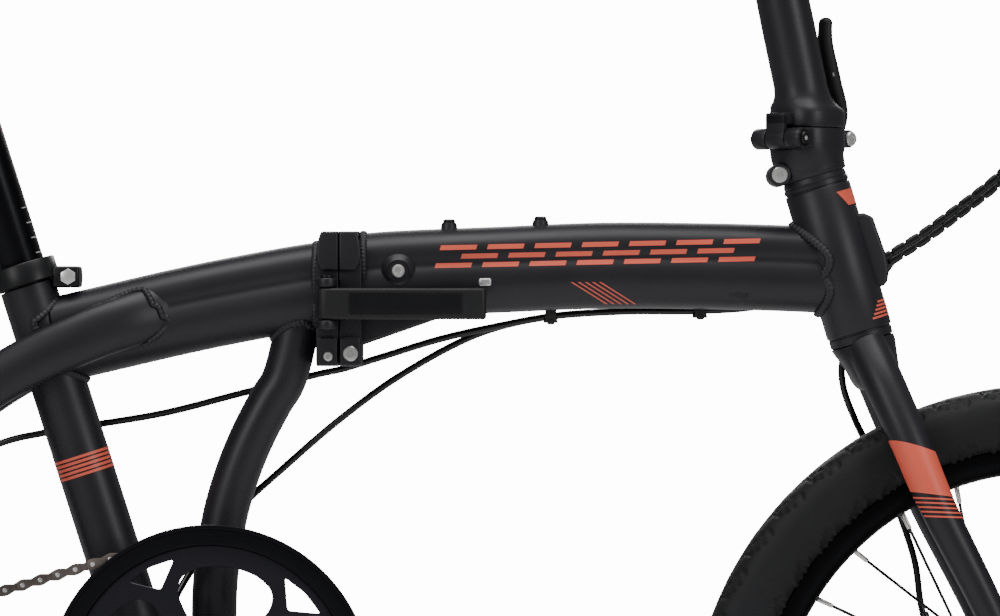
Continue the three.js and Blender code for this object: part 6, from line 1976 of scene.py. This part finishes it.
def saddle_rings(grow):
    """Level rings up the saddle, crowned, with the rear raised and the sides pulled in below the top edge."""
    keys = np.array(SADDLE_KEYS)
    xs = np.concatenate([np.linspace(-438.6, -430, 8, endpoint=False), np.linspace(-430, -190, 70, endpoint=False),
                         np.linspace(-190, -177.2, 10)])
    half = np.interp(xs, keys[:, 0], keys[:, 1])
    kernel = np.array([1, 3, 5, 3, 1]) / 13
    half[2:-2] = np.convolve(half, kernel, "same")[2:-2]
    outline = np.concatenate([np.column_stack([xs, -half]), np.column_stack([xs[::-1], half[::-1]])])
    levels = [(0.0, SADDLE_FOOT), (0.03, 0.845), (0.12, 0.875), (0.3, 0.905), (0.48, 0.95), (0.6, 0.988),
              (0.68, 1.0), (0.76, 0.992), (0.84, 0.955), (0.905, 0.88), (0.95, 0.77), (0.98, 0.6), (1.0, 0.36),
              (1.005, 0.12)]
    rings = []
    for height, share in levels:
        ring = drawn_in(np.column_stack([outline, np.zeros(len(outline))]), share + grow)
        base = 903.6 + 2.5 * ((ring[:, 0] + 330) / 110) ** 2
        rise = 33.5 + 6.0 * np.clip((-330 - ring[:, 0]) / 90, 0, 1) ** 1.5
        rise += 2.0 * np.clip((ring[:, 0] + 250) / 70, 0, 1)
        ring[:, 2] = base + rise * height
        rings.append(ring)
    return rings


def swell(obj, pressure, cap):
    """Inflates a pad with a short cloth run, limits how far a point may go and keeps the result."""
    before = np.empty(len(obj.data.vertices) * 3)
    obj.data.vertices.foreach_get("co", before)
    before = before.reshape(-1, 3)
    scene = bpy.context.scene
    cloth = obj.modifiers.new("Pressure", "CLOTH")
    cloth.settings.use_pressure = True
    cloth.settings.uniform_pressure_force = pressure
    cloth.settings.effector_weights.gravity = 0
    cloth.settings.quality = 5
    cloth.settings.tension_stiffness = 12
    cloth.settings.compression_stiffness = 12
    cloth.point_cache.frame_start = 1
    cloth.point_cache.frame_end = 20
    for number in range(1, 21):
        scene.frame_set(number)
    deps = bpy.context.evaluated_depsgraph_get()
    mesh = obj.evaluated_get(deps).to_mesh()
    after = np.empty(len(mesh.vertices) * 3)
    mesh.vertices.foreach_get("co", after)
    after = after.reshape(-1, 3)
    obj.evaluated_get(deps).to_mesh_clear()
    obj.modifiers.remove(cloth)
    scene.frame_set(1)
    move = after - before
    far = np.linalg.norm(move, axis=1, keepdims=True)
    move *= np.minimum(1, cap / np.maximum(far, 1e-9))
    low = before[:, 2:3].min()
    move *= np.clip((before[:, 2:3] - low - 0.010) / 0.018, 0, 1)
    obj.data.vertices.foreach_set("co", (before + move).ravel())
    obj.data.update()


def remesh(obj, size):
    modifier = obj.modifiers.new("Voxels", "REMESH")
    modifier.mode = "VOXEL"
    modifier.voxel_size = size
    deps = bpy.context.evaluated_depsgraph_get()
    mesh = bpy.data.meshes.new_from_object(obj.evaluated_get(deps))
    obj.modifiers.remove(modifier)
    obj.data = mesh
    obj.data.materials.clear()
    obj.data.materials.append(SADDLE)


def build_saddle():
    saddle = as_object("saddle_pad", loft(saddle_rings(-0.012)), SADDLE, 60)
    remesh(saddle, 0.0045)
    swell(saddle, 4.0, 0.0035)
    smoothing = saddle.modifiers.new("Round", "SUBSURF")
    smoothing.levels = 1
    deps = bpy.context.evaluated_depsgraph_get()
    mesh = bpy.data.meshes.new_from_object(saddle.evaluated_get(deps))
    saddle.modifiers.clear()
    saddle.data = mesh
    coords = np.empty(len(mesh.vertices) * 3)
    mesh.vertices.foreach_get("co", coords)
    coords = coords.reshape(-1, 3) / MM
    top = coords[:, 2] > 925
    channel = np.exp(-(coords[:, 1] / 9.0) ** 2) * np.clip((-215 - coords[:, 0]) / 30, 0, 1)
    channel *= np.clip((coords[:, 0] + 425) / 25, 0, 1)
    coords[:, 2] -= np.where(top, 4.2 * channel, 0)
    keys = np.array(SADDLE_KEYS)
    edge = np.interp(coords[:, 0], keys[:, 0], keys[:, 1]) * 0.62
    groove = np.exp(-((np.abs(coords[:, 1]) - edge) / 1.5) ** 2)
    groove *= np.clip((coords[:, 0] + 428) / 8, 0, 1) * np.clip((-196 - coords[:, 0]) / 8, 0, 1)
    coords[:, 2] -= np.where(top, 1.1 * groove, 0)
    rib = np.exp(-(((coords[:, 0] + 372) % 14 - 7) / 1.6) ** 2) * np.clip((edge - 5 - np.abs(coords[:, 1])) / 4, 0, 1)
    rib *= np.clip((-322 - coords[:, 0]) / 6, 0, 1) * np.clip((coords[:, 0] + 418) / 6, 0, 1)
    rib *= np.clip((np.abs(coords[:, 1]) - 12) / 4, 0, 1)
    coords[:, 2] -= np.where(top, 0.9 * rib, 0)
    mesh.vertices.foreach_set("co", (coords * MM).ravel())
    mesh.update()
    ease(saddle, 70)
    settle(saddle, "seat_post", "saddle")
    foot = saddle_rings(0.0)[0]
    shell = []
    for low, share in [(-1.2, 0.72), (-0.8, 0.80), (1.2, 0.84), (5.2, 0.868), (7.4, 0.882), (7.9, 0.87)]:
        shell.append(drawn_in(foot, share / SADDLE_FOOT) + low * Z)
    piece("saddle_shell", "seat_post", PLASTIC, loft(shell), sharp=50)
    trim = drawn_in(foot, 0.893 / SADDLE_FOOT) + 8.4 * Z
    piece("saddle_seam", "seat_post", SADDLE, tube([*trim, trim[0]], 1.5, 10, straight=True), sharp=60)


POST_ALLOY = turned_metal("seat_post_black", (0.016, 0.016, 0.018), 0.3, tuple(seat_axis(600)), 0.7)
build_caliper("front", 441.0, 300.0, 38.0, 145, "fork")
build_caliper("rear", -498.0, 336.0, 42.0, 80, "rear_frame")
build_kickstand()
build_handlebar()
for side, sign in (("left", 1), ("right", -1)):
    build_grip(side, sign)
    build_lever(side, sign)
build_shifter()
build_seat_post()
build_seat_clamp()
build_saddle()
